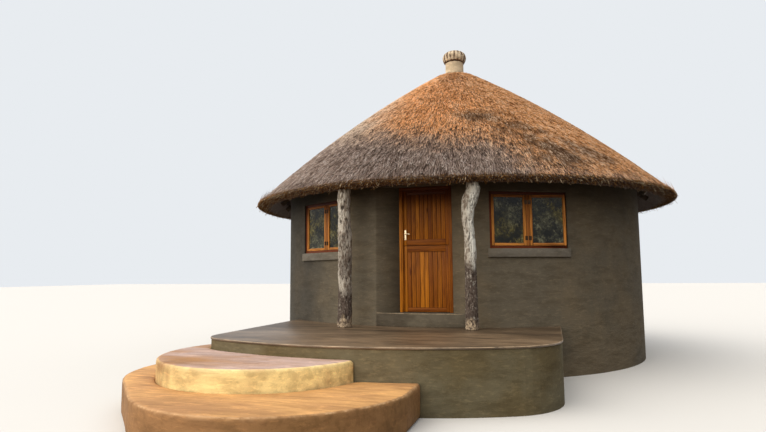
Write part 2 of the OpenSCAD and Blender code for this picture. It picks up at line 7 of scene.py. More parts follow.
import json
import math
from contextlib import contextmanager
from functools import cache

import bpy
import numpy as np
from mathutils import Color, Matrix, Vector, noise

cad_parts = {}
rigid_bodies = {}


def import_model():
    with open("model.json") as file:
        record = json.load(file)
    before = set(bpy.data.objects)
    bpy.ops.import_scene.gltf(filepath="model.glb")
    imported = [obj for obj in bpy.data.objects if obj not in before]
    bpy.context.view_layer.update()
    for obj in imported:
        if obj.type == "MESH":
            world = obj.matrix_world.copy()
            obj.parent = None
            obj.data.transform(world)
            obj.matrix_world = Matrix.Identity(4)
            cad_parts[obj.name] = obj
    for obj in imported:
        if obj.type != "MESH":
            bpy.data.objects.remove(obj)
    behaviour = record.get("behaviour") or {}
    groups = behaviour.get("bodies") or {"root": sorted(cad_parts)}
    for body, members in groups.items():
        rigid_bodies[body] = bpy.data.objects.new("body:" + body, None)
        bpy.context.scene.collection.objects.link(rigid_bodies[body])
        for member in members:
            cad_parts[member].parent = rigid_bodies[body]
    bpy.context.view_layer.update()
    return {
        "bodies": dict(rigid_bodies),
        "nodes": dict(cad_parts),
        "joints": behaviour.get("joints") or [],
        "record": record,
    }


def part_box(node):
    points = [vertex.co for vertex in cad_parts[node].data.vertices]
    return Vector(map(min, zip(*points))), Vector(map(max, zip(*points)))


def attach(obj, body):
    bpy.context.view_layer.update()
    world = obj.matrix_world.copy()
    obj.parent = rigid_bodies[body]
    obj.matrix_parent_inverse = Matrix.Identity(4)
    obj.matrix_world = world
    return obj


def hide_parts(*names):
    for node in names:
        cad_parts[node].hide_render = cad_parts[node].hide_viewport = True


bl_info = {
    "name": "Thatched Rondavel Hut",
    "version": (1, 0, 0),
    "blender": (4, 5, 0),
    "location": "3D View > Sidebar > Hut",
    "description": "Finishes a round thatched hut with straw, logs, worn steps, a stable door and windows",
    "category": "Object",
}

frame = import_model()
NODES = frame["nodes"]


# Sizes and colours that a user would change

def length(name, description, default):
    return bpy.props.FloatProperty(
        name=name, description=description, default=default, unit="LENGTH", precision=4)


def angle(name, description, degrees):
    return bpy.props.FloatProperty(
        name=name, description=description, default=math.radians(degrees), subtype="ANGLE")


def colour(name, description, red, green, blue):
    return bpy.props.FloatVectorProperty(
        name=name, description=description, default=(red / 255, green / 255, blue / 255), min=0, max=1,
        subtype="COLOR_GAMMA")


def number(name, description, default):
    return bpy.props.FloatProperty(name=name, description=description, default=default)


def amount(name, description, default, least, most):
    return bpy.props.IntProperty(name=name, description=description, default=default, min=least, max=most)


class HutThatchLooks(bpy.types.PropertyGroup):
    """Straw on the roof"""
    pitch: angle("Pitch", "Pitch of the roof's underside", 38)
    depth: length("Straw depth", "How far the thatch's bed lies under the straw ends", 0.03)
    straw_length: length("Straw length", "Length of a straw that shows on the roof", 0.2)
    straw_width: length("Straw width", "Width of a straw at its cut end", 0.0115)
    spacing: length("Straw spacing", "Distance between neighbouring straws", 0.0223)
    tuft_length: length("Tuft length", "Length down the slope of the tufts that straws stand in", 0.13)
    tuft_width: length("Tuft width", "Width of the tufts that straws stand in", 0.045)
    shag: length("Shag", "How far tufts and straws differ in height", 0.016)
    spread: angle("Spread", "How far a straw turns away from straight downhill", 11)
    eave_end: length("Eave face", "Length of the cut eave with its rounded lip", 0.30)
    eave_spacing: length("Eave straw spacing", "Distance between straw ends on the cut eave", 0.019)
    eave_length: length("Eave straw length", "Length of the straws in the cut eave", 0.10)
    loose_length: length("Loose straw length", "Length of the few straws that hang from the eave", 0.19)
    loose_straws: amount("Loose straws", "Number of straws that hang from the eave", 640, 0, 3000)
    # Painted sunlight: the orange of the upper roof
    sunlit: colour("Sunlit straw", "Straw bleached orange on the upper roof", 255, 188, 126)
    # Painted light: the paler straw on the left of the roof
    lit: colour("Bleached straw", "Pale straw on the left of the roof", 212, 190, 170)
    # Painted shade: the brown on the right of the roof and in its tree shadows
    shadow_brown: colour("Browned straw", "Brown straw in the stained bands of the roof", 122, 94, 72)
    # Painted tree shade: the grey of the lower courses
    shaded_grey: colour("Weathered straw", "Grey straw on the damp lower courses", 160, 140, 128)
    shaded: colour("Shaded straw", "Dark straw between the tufts", 70, 50, 38)
    eave_straw: colour("Eave straw", "Cut golden straw ends under the eave", 152, 106, 52)
    # Painted tree shade reaches up to these two heights
    tree_shade_top: length("Weathered height", "Height up to which the left lower courses are grey", 4.32)
    tree_shade_least: length("Least weathered height", "Height up to which it is grey all round", 3.16)


class HutPlasterLooks(bpy.types.PropertyGroup):
    """Plaster of walls, plinth, sills and finial"""
    wall: colour("Wall", "Matt taupe plaster of the walls", 100, 92, 78)
    wall_patch: colour("Wall patches", "Lighter, browner patches of the walls", 112, 100, 81)
    eased_edge: length("Eased edge", "Rounding of the threshold's and the sills' edges", 0.008)
    arris: length("Arris", "Rounding of the recess's upright corners", 0.022)
    # Painted shade: how dark the plaster of the door's recess is painted, most on the left reveal
    recess: number("Recess grime", "How dark the sheltered plaster of the door's recess has gone", 0.8)
    sill: colour("Sill", "Slightly lighter band under a window", 114, 108, 98)
    threshold: colour("Threshold", "Trodden plaster of the threshold", 84, 76, 64)
    neck: colour("Neck", "Cream plaster of the finial's neck", 228, 208, 176)
    crown: colour("Crown", "Cream-brown ribs of the finial's crown", 214, 194, 164)
    # Darker colour put in the grooves, inward of each rib's outer radius
    crown_groove: colour("Crown grooves", "Stained grooves between the ribs", 92, 68, 48)


class HutStepLooks(bpy.types.PropertyGroup):
    """Terrace and steps"""
    round_edge: length("Rounded edge", "Radius of the hand-worked edges of the steps", 0.016)
    nosing: length("Nosing", "Radius of the terrace's upper edge", 0.010)
    cell: length("Cell", "Distance between the points of a step's surface", 0.028)
    waviness: length("Waviness", "How far a step's surface wanders from true", 0.0025)
    # Painted sunlight in the upper riser's golden colour, and painted tree shade in the lower riser's browner
    # one
    step: colour("Upper step", "Golden render of the upper step's riser", 255, 232, 164)
    lower: colour("Lower step", "Browner render of the lower step's riser", 140, 103, 63)
    tread: colour("Upper tread", "Dusty, trodden top of the upper step", 186, 160, 150)
    lower_tread: colour("Lower tread", "Golden, trodden top of the lower step", 206, 156, 98)
    step_stain: colour("Step stains", "Darker stains on the steps", 166, 122, 80)
    riser: colour("Terrace wall", "Grey-brown render of the terrace's side", 112, 104, 82)
    riser_patch: colour("Terrace wall patches", "Browner patches of the terrace's side", 104, 92, 66)
    screed: colour("Screed", "Brown screed on the terrace", 120, 99, 76)
    screed_stain: colour("Screed stains", "Dark, damp patches of the screed", 74, 58, 40)
    worn: colour("Worn nosing", "Pale, worn edge of the terrace and the threshold", 226, 198, 160)
    worn_step: colour("Worn step edge", "Worn edge of the steps", 226, 184, 136)


class HutLogLooks(bpy.types.PropertyGroup):
    """Rough log posts"""
    cell: length("Cell", "Distance between the points of a log's surface", 0.0095)
    crack_depth: length("Crack depth", "Depth of the long cracks in the logs", 0.012)
    lump: length("Lump height", "Height of the lumps and hollows of the logs", 0.010)
    bark: length("Bark", "Thickness that the sculpted bark adds", 0.006)
    slit_depth: length("Slit depth", "Depth of the dark slits in the logs", 0.014)
    swell_top: length("Swell top", "Height over a log's foot at which its swell ends", 1.95)
    # Painted light: the crooked log's right side is pale from this height up
    painted_light_from: length("Pale from", "Height over a log's foot from which its right side is pale", 0.55)
    damp_height: length("Damp height", "Height up to which a log is damp", 1.0)
    dust_height: length("Dust height", "Height of the pale dust on the logs' feet", 0.16)
    silver: colour("Silver wood", "Weathered outer wood", 196, 188, 174)
    brown: colour("Brown wood", "Bark and damp wood", 122, 108, 94)
    darkened: colour("Damp wood", "Dark, damp lower part of a log", 82, 70, 62)
    # Painted shade: the colour in the sculpted cracks and slits
    hollow: colour("Hollows", "Dark cracks and holes", 44, 34, 28)
    dust: colour("Dust", "Pale dust on a log's foot", 176, 156, 130)
    # Painted light: the colour of the crooked log's lit right side
    pale: colour("Pale side", "Smooth, bleached side of the crooked log", 226, 224, 214)


class HutDoorSizes(bpy.types.PropertyGroup):
    """Stable door with boards"""
    stile: length("Stile", "Width of the stiles and outer rails", 0.07)
    meeting_rail: length("Meeting rail", "Height of the rails where the leaves meet", 0.10)
    boards: amount("Boards", "Number of boards in a leaf", 9, 3, 12)
    inset: length("Board inset", "How far the boards lie behind the stiles", 0.012)
    seam: length("Seam", "Open seam between two boards", 0.003)
    groove: length("Groove", "Width of the eased edge of a board", 0.004)
    gap: length("Gap", "Gap between a leaf and the frame", 0.005)
    stop: length("Stop", "Width of the stop that the leaves shut against", 0.012)
    stop_depth: length("Stop depth", "Depth of the stop from the front of the frame", 0.051)
    plate_width: length("Plate width", "Width of the lever's plate", 0.034)
    plate_height: length("Plate height", "Height of the lever's plate", 0.17)
    plate_depth: length("Plate depth", "Thickness of the lever's plate", 0.004)
    plate_corner: length("Plate corner", "Radius of the plate's corners", 0.013)
    keyhole: length("Keyhole", "Radius of the keyhole", 0.0042)
    boss: length("Boss", "Radius of the round boss under the lever", 0.013)
    boss_depth: length("Boss depth", "How far the boss stands out from the leaf", 0.012)
    spindle: length("Spindle", "Radius of the spindle that carries the lever", 0.0075)
    plate_shift: length("Plate shift", "How far the lever sits from the stile's middle", 0.006)
    lever_radius: length("Lever", "Radius of the lever", 0.0085)
    light: colour("Light board", "Lightest varnished board", 196, 120, 30)
    middle: colour("Middle board", "Usual varnished board", 140, 78, 17)
    dark: colour("Dark board", "Darkest varnished board and grain", 80, 34, 8)
    groove_dark: colour("Groove", "Dirt in the grooves between the boards", 46, 20, 6)
    brass: colour("Brass", "Lever and plate", 246, 226, 190)
    steel: colour("Steel", "Hinges", 66, 50, 38)


class HutWindowSizes(bpy.types.PropertyGroup):
    """Timber windows"""
    bar: length("Frame bar", "Face width of the frame's members", 0.045)
    mullion: length("Mullion", "Width of the mullion", 0.06)
    rebate: length("Rebate", "How far the frame stands behind a casement", 0.012)
    gap: length("Gap", "Gap round a casement", 0.002)
    casement_bar: length("Casement bar", "Face width of a casement's members", 0.045)
    casement_depth: length("Casement depth", "Thickness of a casement", 0.04)
    hinge_out: length("Hinge", "How far the hinges' pins stand in front of the frame", 0.0063)
    ajar: angle("Ajar", "How far the right casement of the right window stands open", 9)
    light: colour("Light wood", "Sun-bleached varnish", 238, 158, 76)
    middle: colour("Middle wood", "Varnish", 112, 52, 24)
    dark: colour("Dark wood", "Grain and damp corners", 70, 30, 14)
    groove_dark: colour("Groove", "Dirt in the joints", 40, 18, 8)
    glass: colour("Glass", "Dark glass where it is clean", 18, 17, 8)
    # Glass patches of dust and painted reflection: the paler and the greenish ones
    haze_and_reflection: colour("Haze", "Paler, greyer patches on the glass", 204, 202, 160)
    painted_light_tone: colour("Grime", "Dusty, greenish patches on the glass", 206, 190, 104)


class HutStageLooks(bpy.types.PropertyGroup):
    """Camera, light and floor"""
    place: bpy.props.FloatVectorProperty(
        name="Camera", description="Place of the camera", default=(1.981, -12.673, 1.656),
        subtype="TRANSLATION")
    yaw: angle("Yaw", "Turn of the camera to the left", 16.50118)
    pitch: angle("Pitch", "Upward tilt of the camera", 5.90147)
    roll: angle("Roll", "Roll of the camera", -0.40107)
    lens: number("Lens", "Focal length on a 36 mm sensor", 26.33)
    sun: number("Key lamp", "Strength of the key lamp", 2.95)
    sun_height: angle("Key height", "Height of the key lamp over the horizon", 40)
    sun_side: angle("Key side", "How far to the left of the door the key lamp stands", 37)
    sun_size: angle("Key softness", "Apparent size of the key lamp", 88)
    fill: number("Sky", "Strength of the light from overhead", 1.22)
    uneven: number("Uneven sky", "How much stronger the sky is on the left than on the right", 0.4)
    horizon: number("Horizon", "Share of the sky's strength that is left at the horizon", 0.12)
    floor: colour("Floor", "Plain pale floor as the camera sees it", 206, 203, 198)
    bounce: colour("Bounce", "Earth tone that the floor throws back onto the hut", 58, 48, 38)
    backdrop: colour("Backdrop", "Plain pale background", 232, 236, 240)


# Short helpers for meshes

def look_at_only(piece):
    """Leaves one object selected and active"""
    bpy.ops.object.select_all(action="DESELECT")
    piece.select_set(True)
    bpy.context.view_layer.objects.active = piece


def settle(piece):
    """Puts an object's place into its mesh"""
    look_at_only(piece)
    bpy.ops.object.transform_apply(location=True, rotation=True, scale=True)


def join(name, pieces):
    """Joins several mesh objects into one of that name"""
    bpy.ops.object.select_all(action="DESELECT")
    for piece in pieces:
        piece.select_set(True)
    bpy.context.view_layer.objects.active = pieces[0]
    bpy.ops.object.join()
    pieces[0].name = name
    pieces[0].data.name = name
    return pieces[0]


@contextmanager
def edit_mode():
    """Edit mode for as long as the block of code runs"""
    bpy.ops.object.mode_set(mode="EDIT")
    yield
    bpy.ops.object.mode_set(mode="OBJECT")


def added(operator, **settings):
    """Runs an operator that adds an object, with nothing else selected, and returns the object"""
    bpy.ops.object.select_all(action="DESELECT")
    operator(**settings)
    return bpy.context.object


def block(middle, size):
    """A block of a size about its middle"""
    piece = added(bpy.ops.mesh.primitive_cube_add, size=1, location=middle)
    piece.scale = size
    settle(piece)
    return piece


def pin(middle, radius, depth, vertices):
    """A round pin along Y about its middle"""
    piece = added(bpy.ops.mesh.primitive_cylinder_add, vertices=vertices, radius=radius, depth=depth,
                  rotation=(math.pi / 2, 0, 0), location=middle)
    settle(piece)
    return piece


def modify(piece, kind, **settings):
    """Adds a modifier with its settings and applies it"""
    look_at_only(piece)
    made = piece.modifiers.new(kind.capitalize(), kind)
    for name, value in settings.items():
        setattr(made, name, value)
    bpy.ops.object.modifier_apply(modifier=made.name)


def bevel(piece, width, segments, limit=30):
    """Rounds the edges of a piece that are sharper than a limit in degrees"""
    modify(piece, "BEVEL", width=width, segments=segments, limit_method="ANGLE",
           angle_limit=math.radians(limit))


def bevel_chosen(piece, chosen, width):
    """Rounds the edges that have a true value in a list"""
    look_at_only(piece)
    with edit_mode():
        bpy.ops.mesh.select_mode(type="EDGE")
        bpy.ops.mesh.select_all(action="DESELECT")
    for edge, wanted in zip(piece.data.edges, chosen):
        edge.select = bool(wanted)
    with edit_mode():
        bpy.ops.mesh.bevel(offset=width, segments=5, affect="EDGES")


def ends_of(mesh, values):
    """The values of the points at the first and at the second end of every edge"""
    pairs = np.array([edge.vertices[:] for edge in mesh.edges])
    return values[pairs[:, 0]], values[pairs[:, 1]]


def triples(items, field):
    """A field of three numbers of each item, as an array"""
    found = np.empty(len(items) * 3)
    items.foreach_get(field, found)
    return found.reshape(-1, 3)


def points_of(mesh):
    return triples(mesh.vertices, "co")


def across(points):
    """How far each point lies from the upright axis"""
    return np.hypot(points[:, 0], points[:, 1])


def unit(vectors):
    return vectors / np.linalg.norm(vectors, axis=1, keepdims=True)


def set_points(mesh, points):
    mesh.vertices.foreach_set("co", np.asarray(points, float).ravel())
    mesh.update()


def normals_of(mesh):
    return triples(mesh.vertex_normals, "vector")


def set_values(mesh, name, values):
    """Stores one number, or one vector, for each point of the mesh"""
    values = np.asarray(values, float)
    kind, field = ("FLOAT", "value") if values.ndim == 1 else ("FLOAT_VECTOR", "vector")
    mesh.attributes.new(name, kind, "POINT").data.foreach_set(field, values.ravel())


def copy_of(node, name):
    """A new piece with a merged copy of a node's mesh"""
    piece = bpy.data.objects.new(name, NODES[node].data.copy())
    bpy.context.scene.collection.objects.link(piece)
    piece.data.name = name
    piece.data.materials.clear()
    look_at_only(piece)
    with edit_mode():
        bpy.ops.mesh.select_all(action="SELECT")
        bpy.ops.mesh.remove_doubles(threshold=0.00005)
        bpy.ops.mesh.dissolve_limited(angle_limit=math.radians(0.2))
    return piece


def finish(piece, body, slot, material, *nodes, smooth=None):
    """Gives a piece its material, shading, body and the nodes that it stands for; its slot argument is not
    used
    """
    piece.data.materials.clear()
    piece.data.materials.append(material)
    if smooth is not None:
        look_at_only(piece)
        bpy.ops.object.shade_smooth_by_angle(angle=math.radians(smooth))
    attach(piece, body)
    if nodes:
        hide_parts(*nodes)


def dress(material, *nodes):
    """Gives carried-over nodes their material"""
    for name in nodes:
        for slot in NODES[name].material_slots:
            slot.material = material


def mesh_piece(name, points, corners):
    """A mesh object of triangles from arrays"""
    mesh = bpy.data.meshes.new(name)
    mesh.vertices.add(len(points))
    mesh.vertices.foreach_set("co", points.ravel())
    mesh.loops.add(corners.size)
    mesh.loops.foreach_set("vertex_index", corners.ravel().astype(np.int32))
    mesh.polygons.add(len(corners))
    mesh.polygons.foreach_set("loop_start", np.arange(0, corners.size, 3, dtype=np.int32))
    mesh.update(calc_edges=True)
    piece = bpy.data.objects.new(name, mesh)
    bpy.context.scene.collection.objects.link(piece)
    return piece


# Short helpers for materials

def paint(rgb):
    """Linear colour with alpha from a screen colour"""
    return tuple(Color(rgb).from_srgb_to_scene_linear()) + (1.0,)


class NodeNet:
    """The net of nodes in a material or a group: each call adds a node with its values and links"""

    def __init__(self, tree, material=None):
        self.tree = tree
        self.material = material

    def add(self, kind, inputs=(), **settings):
        made = self.tree.nodes.new("ShaderNode" + kind)
        for name, value in settings.items():
            setattr(made, name, value)
        for name, value in dict(inputs).items():
            self.feed(made.inputs[name], value)
        return made

    def feed(self, socket, value):
        if isinstance(value, bpy.types.NodeSocket):
            self.tree.links.new(value, socket)
        else:
            socket.default_value = value

    def math(self, operation, first, second, clamp=False):
        return self.add("Math", {0: first, 1: second}, operation=operation, use_clamp=clamp).outputs[0]

    def times(self, first, second, clamp=False):
        return self.math("MULTIPLY", first, second, clamp)

    def plus(self, first, second, clamp=False):
        return self.math("ADD", first, second, clamp)

    def minus(self, first, second):
        return self.math("SUBTRACT", first, second)

    def most(self, first, second):
        return self.math("MAXIMUM", first, second)

    def mix(self, factor, first, second, blend="MIX"):
        made = self.add("Mix", data_type="RGBA", blend_type=blend)
        self.feed(made.inputs[0], factor)
        self.feed(made.inputs[6], first)
        self.feed(made.inputs[7], second)
        return made.outputs[2]

    def stain(self, factor, tone, *tint):
        """The tone, and where the factor is 1 the tone multiplied by a tint"""
        return self.mix(factor, tone, self.mix(1.0, tone, (*tint, 1.0), "MULTIPLY"))

    def either_way(self, value, share):
        """A value between 0 and 1 turned into one that goes both ways from 0"""
        return self.times(self.minus(value, 0.5), share)

    def smooth(self, value, low, high, share=1.0):
        """Goes smoothly from 0 at the low value to a share at the high one"""
        return self.add("MapRange", {"Value": value, "From Min": low, "From Max": high, "To Max": share},
                        interpolation_type="SMOOTHSTEP").outputs[0]

    def noise(self, vector, scale, detail=3.0, rough=0.5):
        made = self.add("TexNoise", {"Vector": vector, "Scale": scale, "Detail": detail, "Roughness": rough})
        return made.outputs[0]

    def stretch(self, vector, scale):
        return self.add("Mapping", {"Vector": vector, "Scale": scale}).outputs[0]

    def place(self):
        return self.add("TexCoord").outputs["Object"]

    def axes(self, vector):
        return self.add("SeparateXYZ", {0: vector}).outputs

    def stored(self, name, socket="Fac"):
        return self.add("Attribute", attribute_name=name).outputs[socket]

    def spot(self, place, middle, reach, wander, core):
        """1 at a place on the piece, 0 further off than its reach, with a ragged edge"""
        apart = self.add("VectorMath", {0: place, 1: middle}, operation="DISTANCE").outputs["Value"]
        ragged = self.either_way(self.noise(place, 2.4, 4.0, 0.7), wander * reach * 4)
        return self.smooth(self.plus(apart, ragged), reach, reach * core)

    def group(self, group, **inputs):
        named = {name.capitalize(): value for name, value in inputs.items()}
        return self.add("Group", named, node_tree=group).outputs

    def surface(self, tone, roughness, specular=0.5, height=None, depth=0.0, plain=()):
        """Finishes a material: colour, roughness, a bump of a depth in metres, and plain values by socket"""
        sockets = self.tree.nodes["Principled BSDF"].inputs
        given = {"Base Color": tone, "Roughness": roughness, "Specular IOR Level": specular, **dict(plain)}
        for name, value in given.items():
            self.feed(sockets[name], value)
        if height is not None:
            self.feed(sockets["Normal"], self.add("Bump", {"Height": height, "Distance": depth}).outputs[0])
        return self.material


def new_group(name, inputs, outputs):
    """A shader node group with named sockets: the group, its net, what it is given and what it puts out"""
    kinds = {"colour": "NodeSocketColor", "value": "NodeSocketFloat", "vector": "NodeSocketVector"}
    group = bpy.data.node_groups.new(name, "ShaderNodeTree")
    for side, sockets in (("INPUT", inputs), ("OUTPUT", outputs)):
        for socket, kind in sockets.items():
            group.interface.new_socket(socket, in_out=side, socket_type=kinds[kind])
    net = NodeNet(group)
    return group, net, group.nodes.new("NodeGroupInput").outputs, group.nodes.new("NodeGroupOutput").inputs


def new_material(name):
    """The node net of a new material"""
    material = bpy.data.materials.new(name)
    material.use_nodes = True
    return NodeNet(material.node_tree, material)


# Effects shared by several materials

@cache
def plaster_group():
    """Mottled, trowelled plaster: colour, bump height and roughness"""
    group, net, given, out = new_group(
        "Trowelled plaster",
        {"Place": "vector", "Base": "colour", "Patch": "colour", "Trowel": "value", "Mottle": "value"},
        {"Colour": "colour", "Height": "value", "Roughness": "value"})
    flatter = net.stretch(given["Place"], (1.0, 1.0, 3.2))
    patches = net.noise(given["Place"], 0.9, 4.0, 0.6)
    tone = net.mix(net.smooth(patches, 0.38, 0.66), given["Base"], given["Patch"])
    streaks = net.noise(flatter, 2.6, 5.0, 0.65)
    tone = net.stain(net.smooth(streaks, 0.42, 0.68, given["Mottle"]), tone, 0.5, 0.47, 0.42)
    blotches = net.noise(flatter, 9.0, 5.0, 0.75)
    tone = net.stain(net.smooth(blotches, 0.5, 0.68, given["Mottle"]), tone, 1.75, 1.68, 1.58)
    grit = net.noise(given["Place"], 55.0, 3.0, 0.7)
    tone = net.stain(net.smooth(grit, 0.52, 0.75, 0.35), tone, 0.55, 0.52, 0.48)
    net.feed(out["Colour"], tone)
    net.feed(out["Height"], net.plus(net.times(streaks, given["Trowel"]), net.times(grit, 0.22)))
    net.feed(out["Roughness"], net.plus(0.78, net.times(patches, 0.2)))
    return group


@cache
def wood_group():
    """Grain along Z of the given place: colour and bump height"""
    group, net, given, out = new_group(
        "Board grain",
        {"Place": "vector", "Tone": "value", "Light": "colour", "Middle": "colour", "Dark": "colour"},
        {"Colour": "colour", "Height": "value"})
    long_place = net.stretch(given["Place"], (1.0, 1.0, 0.07))
    figure = net.noise(long_place, 26.0, 4.0, 0.62)
    waves = {"Vector": long_place, "Scale": 9.0, "Distortion": 7.0, "Detail": 3.0, "Detail Scale": 1.6}
    rings = net.add("TexWave", waves, wave_type="BANDS", bands_direction="X").outputs["Fac"]
    fine = net.noise(net.stretch(given["Place"], (1.0, 1.0, 0.03)), 190.0, 2.0, 0.6)
    tone = net.mix(net.smooth(given["Tone"], 0.0, 1.0), given["Middle"], given["Light"])
    for marks in ((figure, 0.42, 0.72, 0.75), (rings, 0.55, 1.0, 0.3), (fine, 0.5, 0.8, 0.4)):
        tone = net.mix(net.smooth(*marks), tone, given["Dark"])
    net.feed(out["Colour"], tone)
    net.feed(out["Height"], net.plus(net.times(fine, 0.5), net.times(rings, 0.5)))
    return group


@cache
def wear_group():
    """Pale worn edge over a colour, broken up by noise"""
    group, net, given, out = new_group(
        "Worn edge",
        {"Place": "vector", "Base": "colour", "Worn": "colour", "Edge": "value"},
        {"Colour": "colour"})
    broken = net.smooth(net.noise(given["Place"], 7.0, 4.0, 0.65), 0.3, 0.62)
    worn = net.times(given["Edge"], broken, clamp=True)
    net.feed(out["Colour"], net.mix(worn, given["Base"], given["Worn"]))
    return group


def plaster_material(name, base, patch, trowel=1.0, depth=0.006, mottle=0.5, eave_shade=None):
    """Plaster, and where two heights are given, a wall's painted shade under the eave, painted tree shade on
    the left, and painted shade and a painted highlight in the door's recess
    """
    net = new_material(name)
    place = net.place()
    made = net.group(
        plaster_group(), place=place, base=paint(base), patch=paint(patch), trowel=trowel, mottle=mottle)
    tone = made["Colour"]
    if eave_shade:
        axes = net.axes(place)
        uneven = net.noise(place, 3.0, 3.0, 0.6)
        # Painted tree shade: the plaster is darker towards the left
        darkened = net.smooth(net.plus(axes["X"], net.times(uneven, 0.8)), -1.15, -2.1)
        # Painted shade under the eave: darker between the two heights
        eave_shade_mask = net.smooth(net.plus(axes["Z"], net.times(uneven, 0.15)), *eave_shade, 0.65)
        tone = net.stain(darkened, tone, 0.52, 0.55, 0.62)
        # Painted highlight along the recess's rounded corners
        tone = net.stain(net.times(net.stored("arris"), 0.3), tone, 1.6, 1.6, 1.6)
        # Painted shade: the darker of the eave's and the recess's
        tone = net.stain(net.most(eave_shade_mask, net.stored("recess")), tone, 0.2, 0.16, 0.13)
    return net.surface(tone, made["Roughness"], 0.12, made["Height"], depth)


def worn_material(name, base, patch, worn, trowel=1.0, depth=0.005, top=None, mottle=0.4, gloss=0.0,
                  specular=0.2, brush=(1.0, 1.0, 1.0)):
    """Brushed render with a pale worn edge where the mesh stores one, and another colour on its level top"""
    net = new_material(name)
    place = net.stretch(net.place(), brush)
    ground = paint(base)
    if top is not None:
        ground = net.mix(net.smooth(net.stored("level"), 0.8, 0.98), ground, paint(top))
    made = net.group(
        plaster_group(), place=place, base=ground, patch=paint(patch), trowel=trowel, mottle=mottle)
    lines = net.smooth(net.noise(net.stretch(place, (0.9, 4.0, 3.0)), 3.5, 4.0, 0.6), 0.46, 0.62, 0.5)
    tone = net.stain(lines, made["Colour"], 0.66, 0.64, 0.62)
    edge = net.group(wear_group(), place=place, base=tone, worn=paint(worn), edge=net.stored("edge"))
    return net.surface(edge["Colour"], net.minus(made["Roughness"], gloss), specular, made["Height"], depth)


def wood_material(name, look, eave_shade, knots=()):
    """Varnished wood with its grain along each member, dark knots, and painted shade of the eave between two
    heights
    """
    net = new_material(name)
    place = net.place()
    made = net.group(
        wood_group(), place=net.stored("grain_place", "Vector"), tone=net.stored("tone"),
        light=paint(look.light), middle=paint(look.middle), dark=paint(look.dark))
    tone = made["Colour"]
    for x, y, z, reach in knots:
        here = net.spot(net.stretch(place, (1.0, 1.0, 0.3)), (x, y, z * 0.3), reach, 0.3, 0.45)
        tone = net.mix(net.times(here, 0.85), tone, paint(look.dark))
    # Painted shade under the eave: darker between the two heights
    tone = net.stain(net.smooth(net.axes(place)["Z"], *eave_shade, 0.88), tone, 0.2, 0.12, 0.1)
    tone = net.mix(net.smooth(net.stored("seam"), 0.1, 0.9, 0.85), tone, paint(look.groove_dark))
    return net.surface(tone, 0.5, 0.12, made["Height"], 0.0008)


def metal_material(name, tint, roughness):
    net = new_material(name)
    smear = net.times(net.noise(net.place(), 60.0, 4.0, 0.6), 0.25)
    return net.surface(paint(tint), net.plus(roughness, smear), plain=(("Metallic", 1.0),))


def painted_tree_shade(net, look):
    """Share of painted tree shade, grey on the straw: 1 low down, 0 high up, with a ragged border that drops
    to the right
    """
    place = net.place()
    axes = net.axes(place)
    slope = net.times(net.plus(axes["X"], 1.2), 0.2)
    steep = net.times(net.most(net.minus(axes["X"], 1.3), 0.0), 0.9)
    border = net.most(net.minus(net.minus(look.tree_shade_top, slope), steep), look.tree_shade_least)
    ragged = net.either_way(net.noise(place, 1.3, 5.0, 0.7), 0.9)
    tufts = net.either_way(net.stored("tone"), 0.9)
    over = net.minus(net.plus(axes["Z"], net.plus(ragged, tufts)), border)
    return net.smooth(over, 0.3, -0.36)


# Painted tree shadows on the roof, in brown: middle, reach and strength
ROOF_SHADOWS = (
    ((0.85, -2.75, 4.4), 0.65, 0.85),
    ((1.4, -2.8, 4.15), 0.65, 0.9),
    ((2.16, -3.2, 3.63), 1.15, 1.0),
    ((2.9, -2.6, 3.6), 0.85, 0.85),
    ((0.15, -0.95, 5.6), 0.5, 0.45),
)


def sunlit_straw(net, look):
    """Straw colour of the upper roof as painted sunlight, paler on the left, with painted shade in brown on
    the right and in the tree shadows
    """
    place = net.place()
    axes = net.axes(place)
    ragged = net.plus(axes["X"], net.times(net.noise(place, 1.1, 3.0, 0.6), 1.2))
    high = net.times(net.most(net.minus(axes["Z"], 5.0), 0.0), 1.1)
    # Painted light: paler towards the left
    tone = net.mix(net.smooth(ragged, 0.2, -1.1), paint(look.sunlit), paint(look.lit))
    # Painted shade: browner towards the right and up high, and in the tree shadows below
    brown = net.smooth(net.plus(ragged, high), 0.9, 1.8, 0.28)
    single = net.either_way(net.stored("tone"), 0.5)
    for middle, reach, strength in ROOF_SHADOWS:
        here = net.plus(net.spot(place, middle, reach, 0.6, 0.0), single, clamp=True)
        brown = net.most(brown, net.times(here, strength))
    return net.mix(brown, tone, paint(look.shadow_brown))


def thatch_material(look):
    """Bedding straw under the loose straws, and the roof's underside"""
    net = new_material("Thatch bed")
    shaded = paint(look.shaded)
    streaks = net.noise(net.place(), 38.0, 4.0, 0.7)
    # Painted sunlight above, painted tree shade in grey below
    tone = net.mix(painted_tree_shade(net, look), sunlit_straw(net, look), paint(look.shaded_grey))
    tone = net.mix(net.smooth(streaks, 0.3, 0.62), shaded, net.mix(0.6, tone, shaded))
    return net.surface(tone, 0.95, height=streaks, depth=0.02)


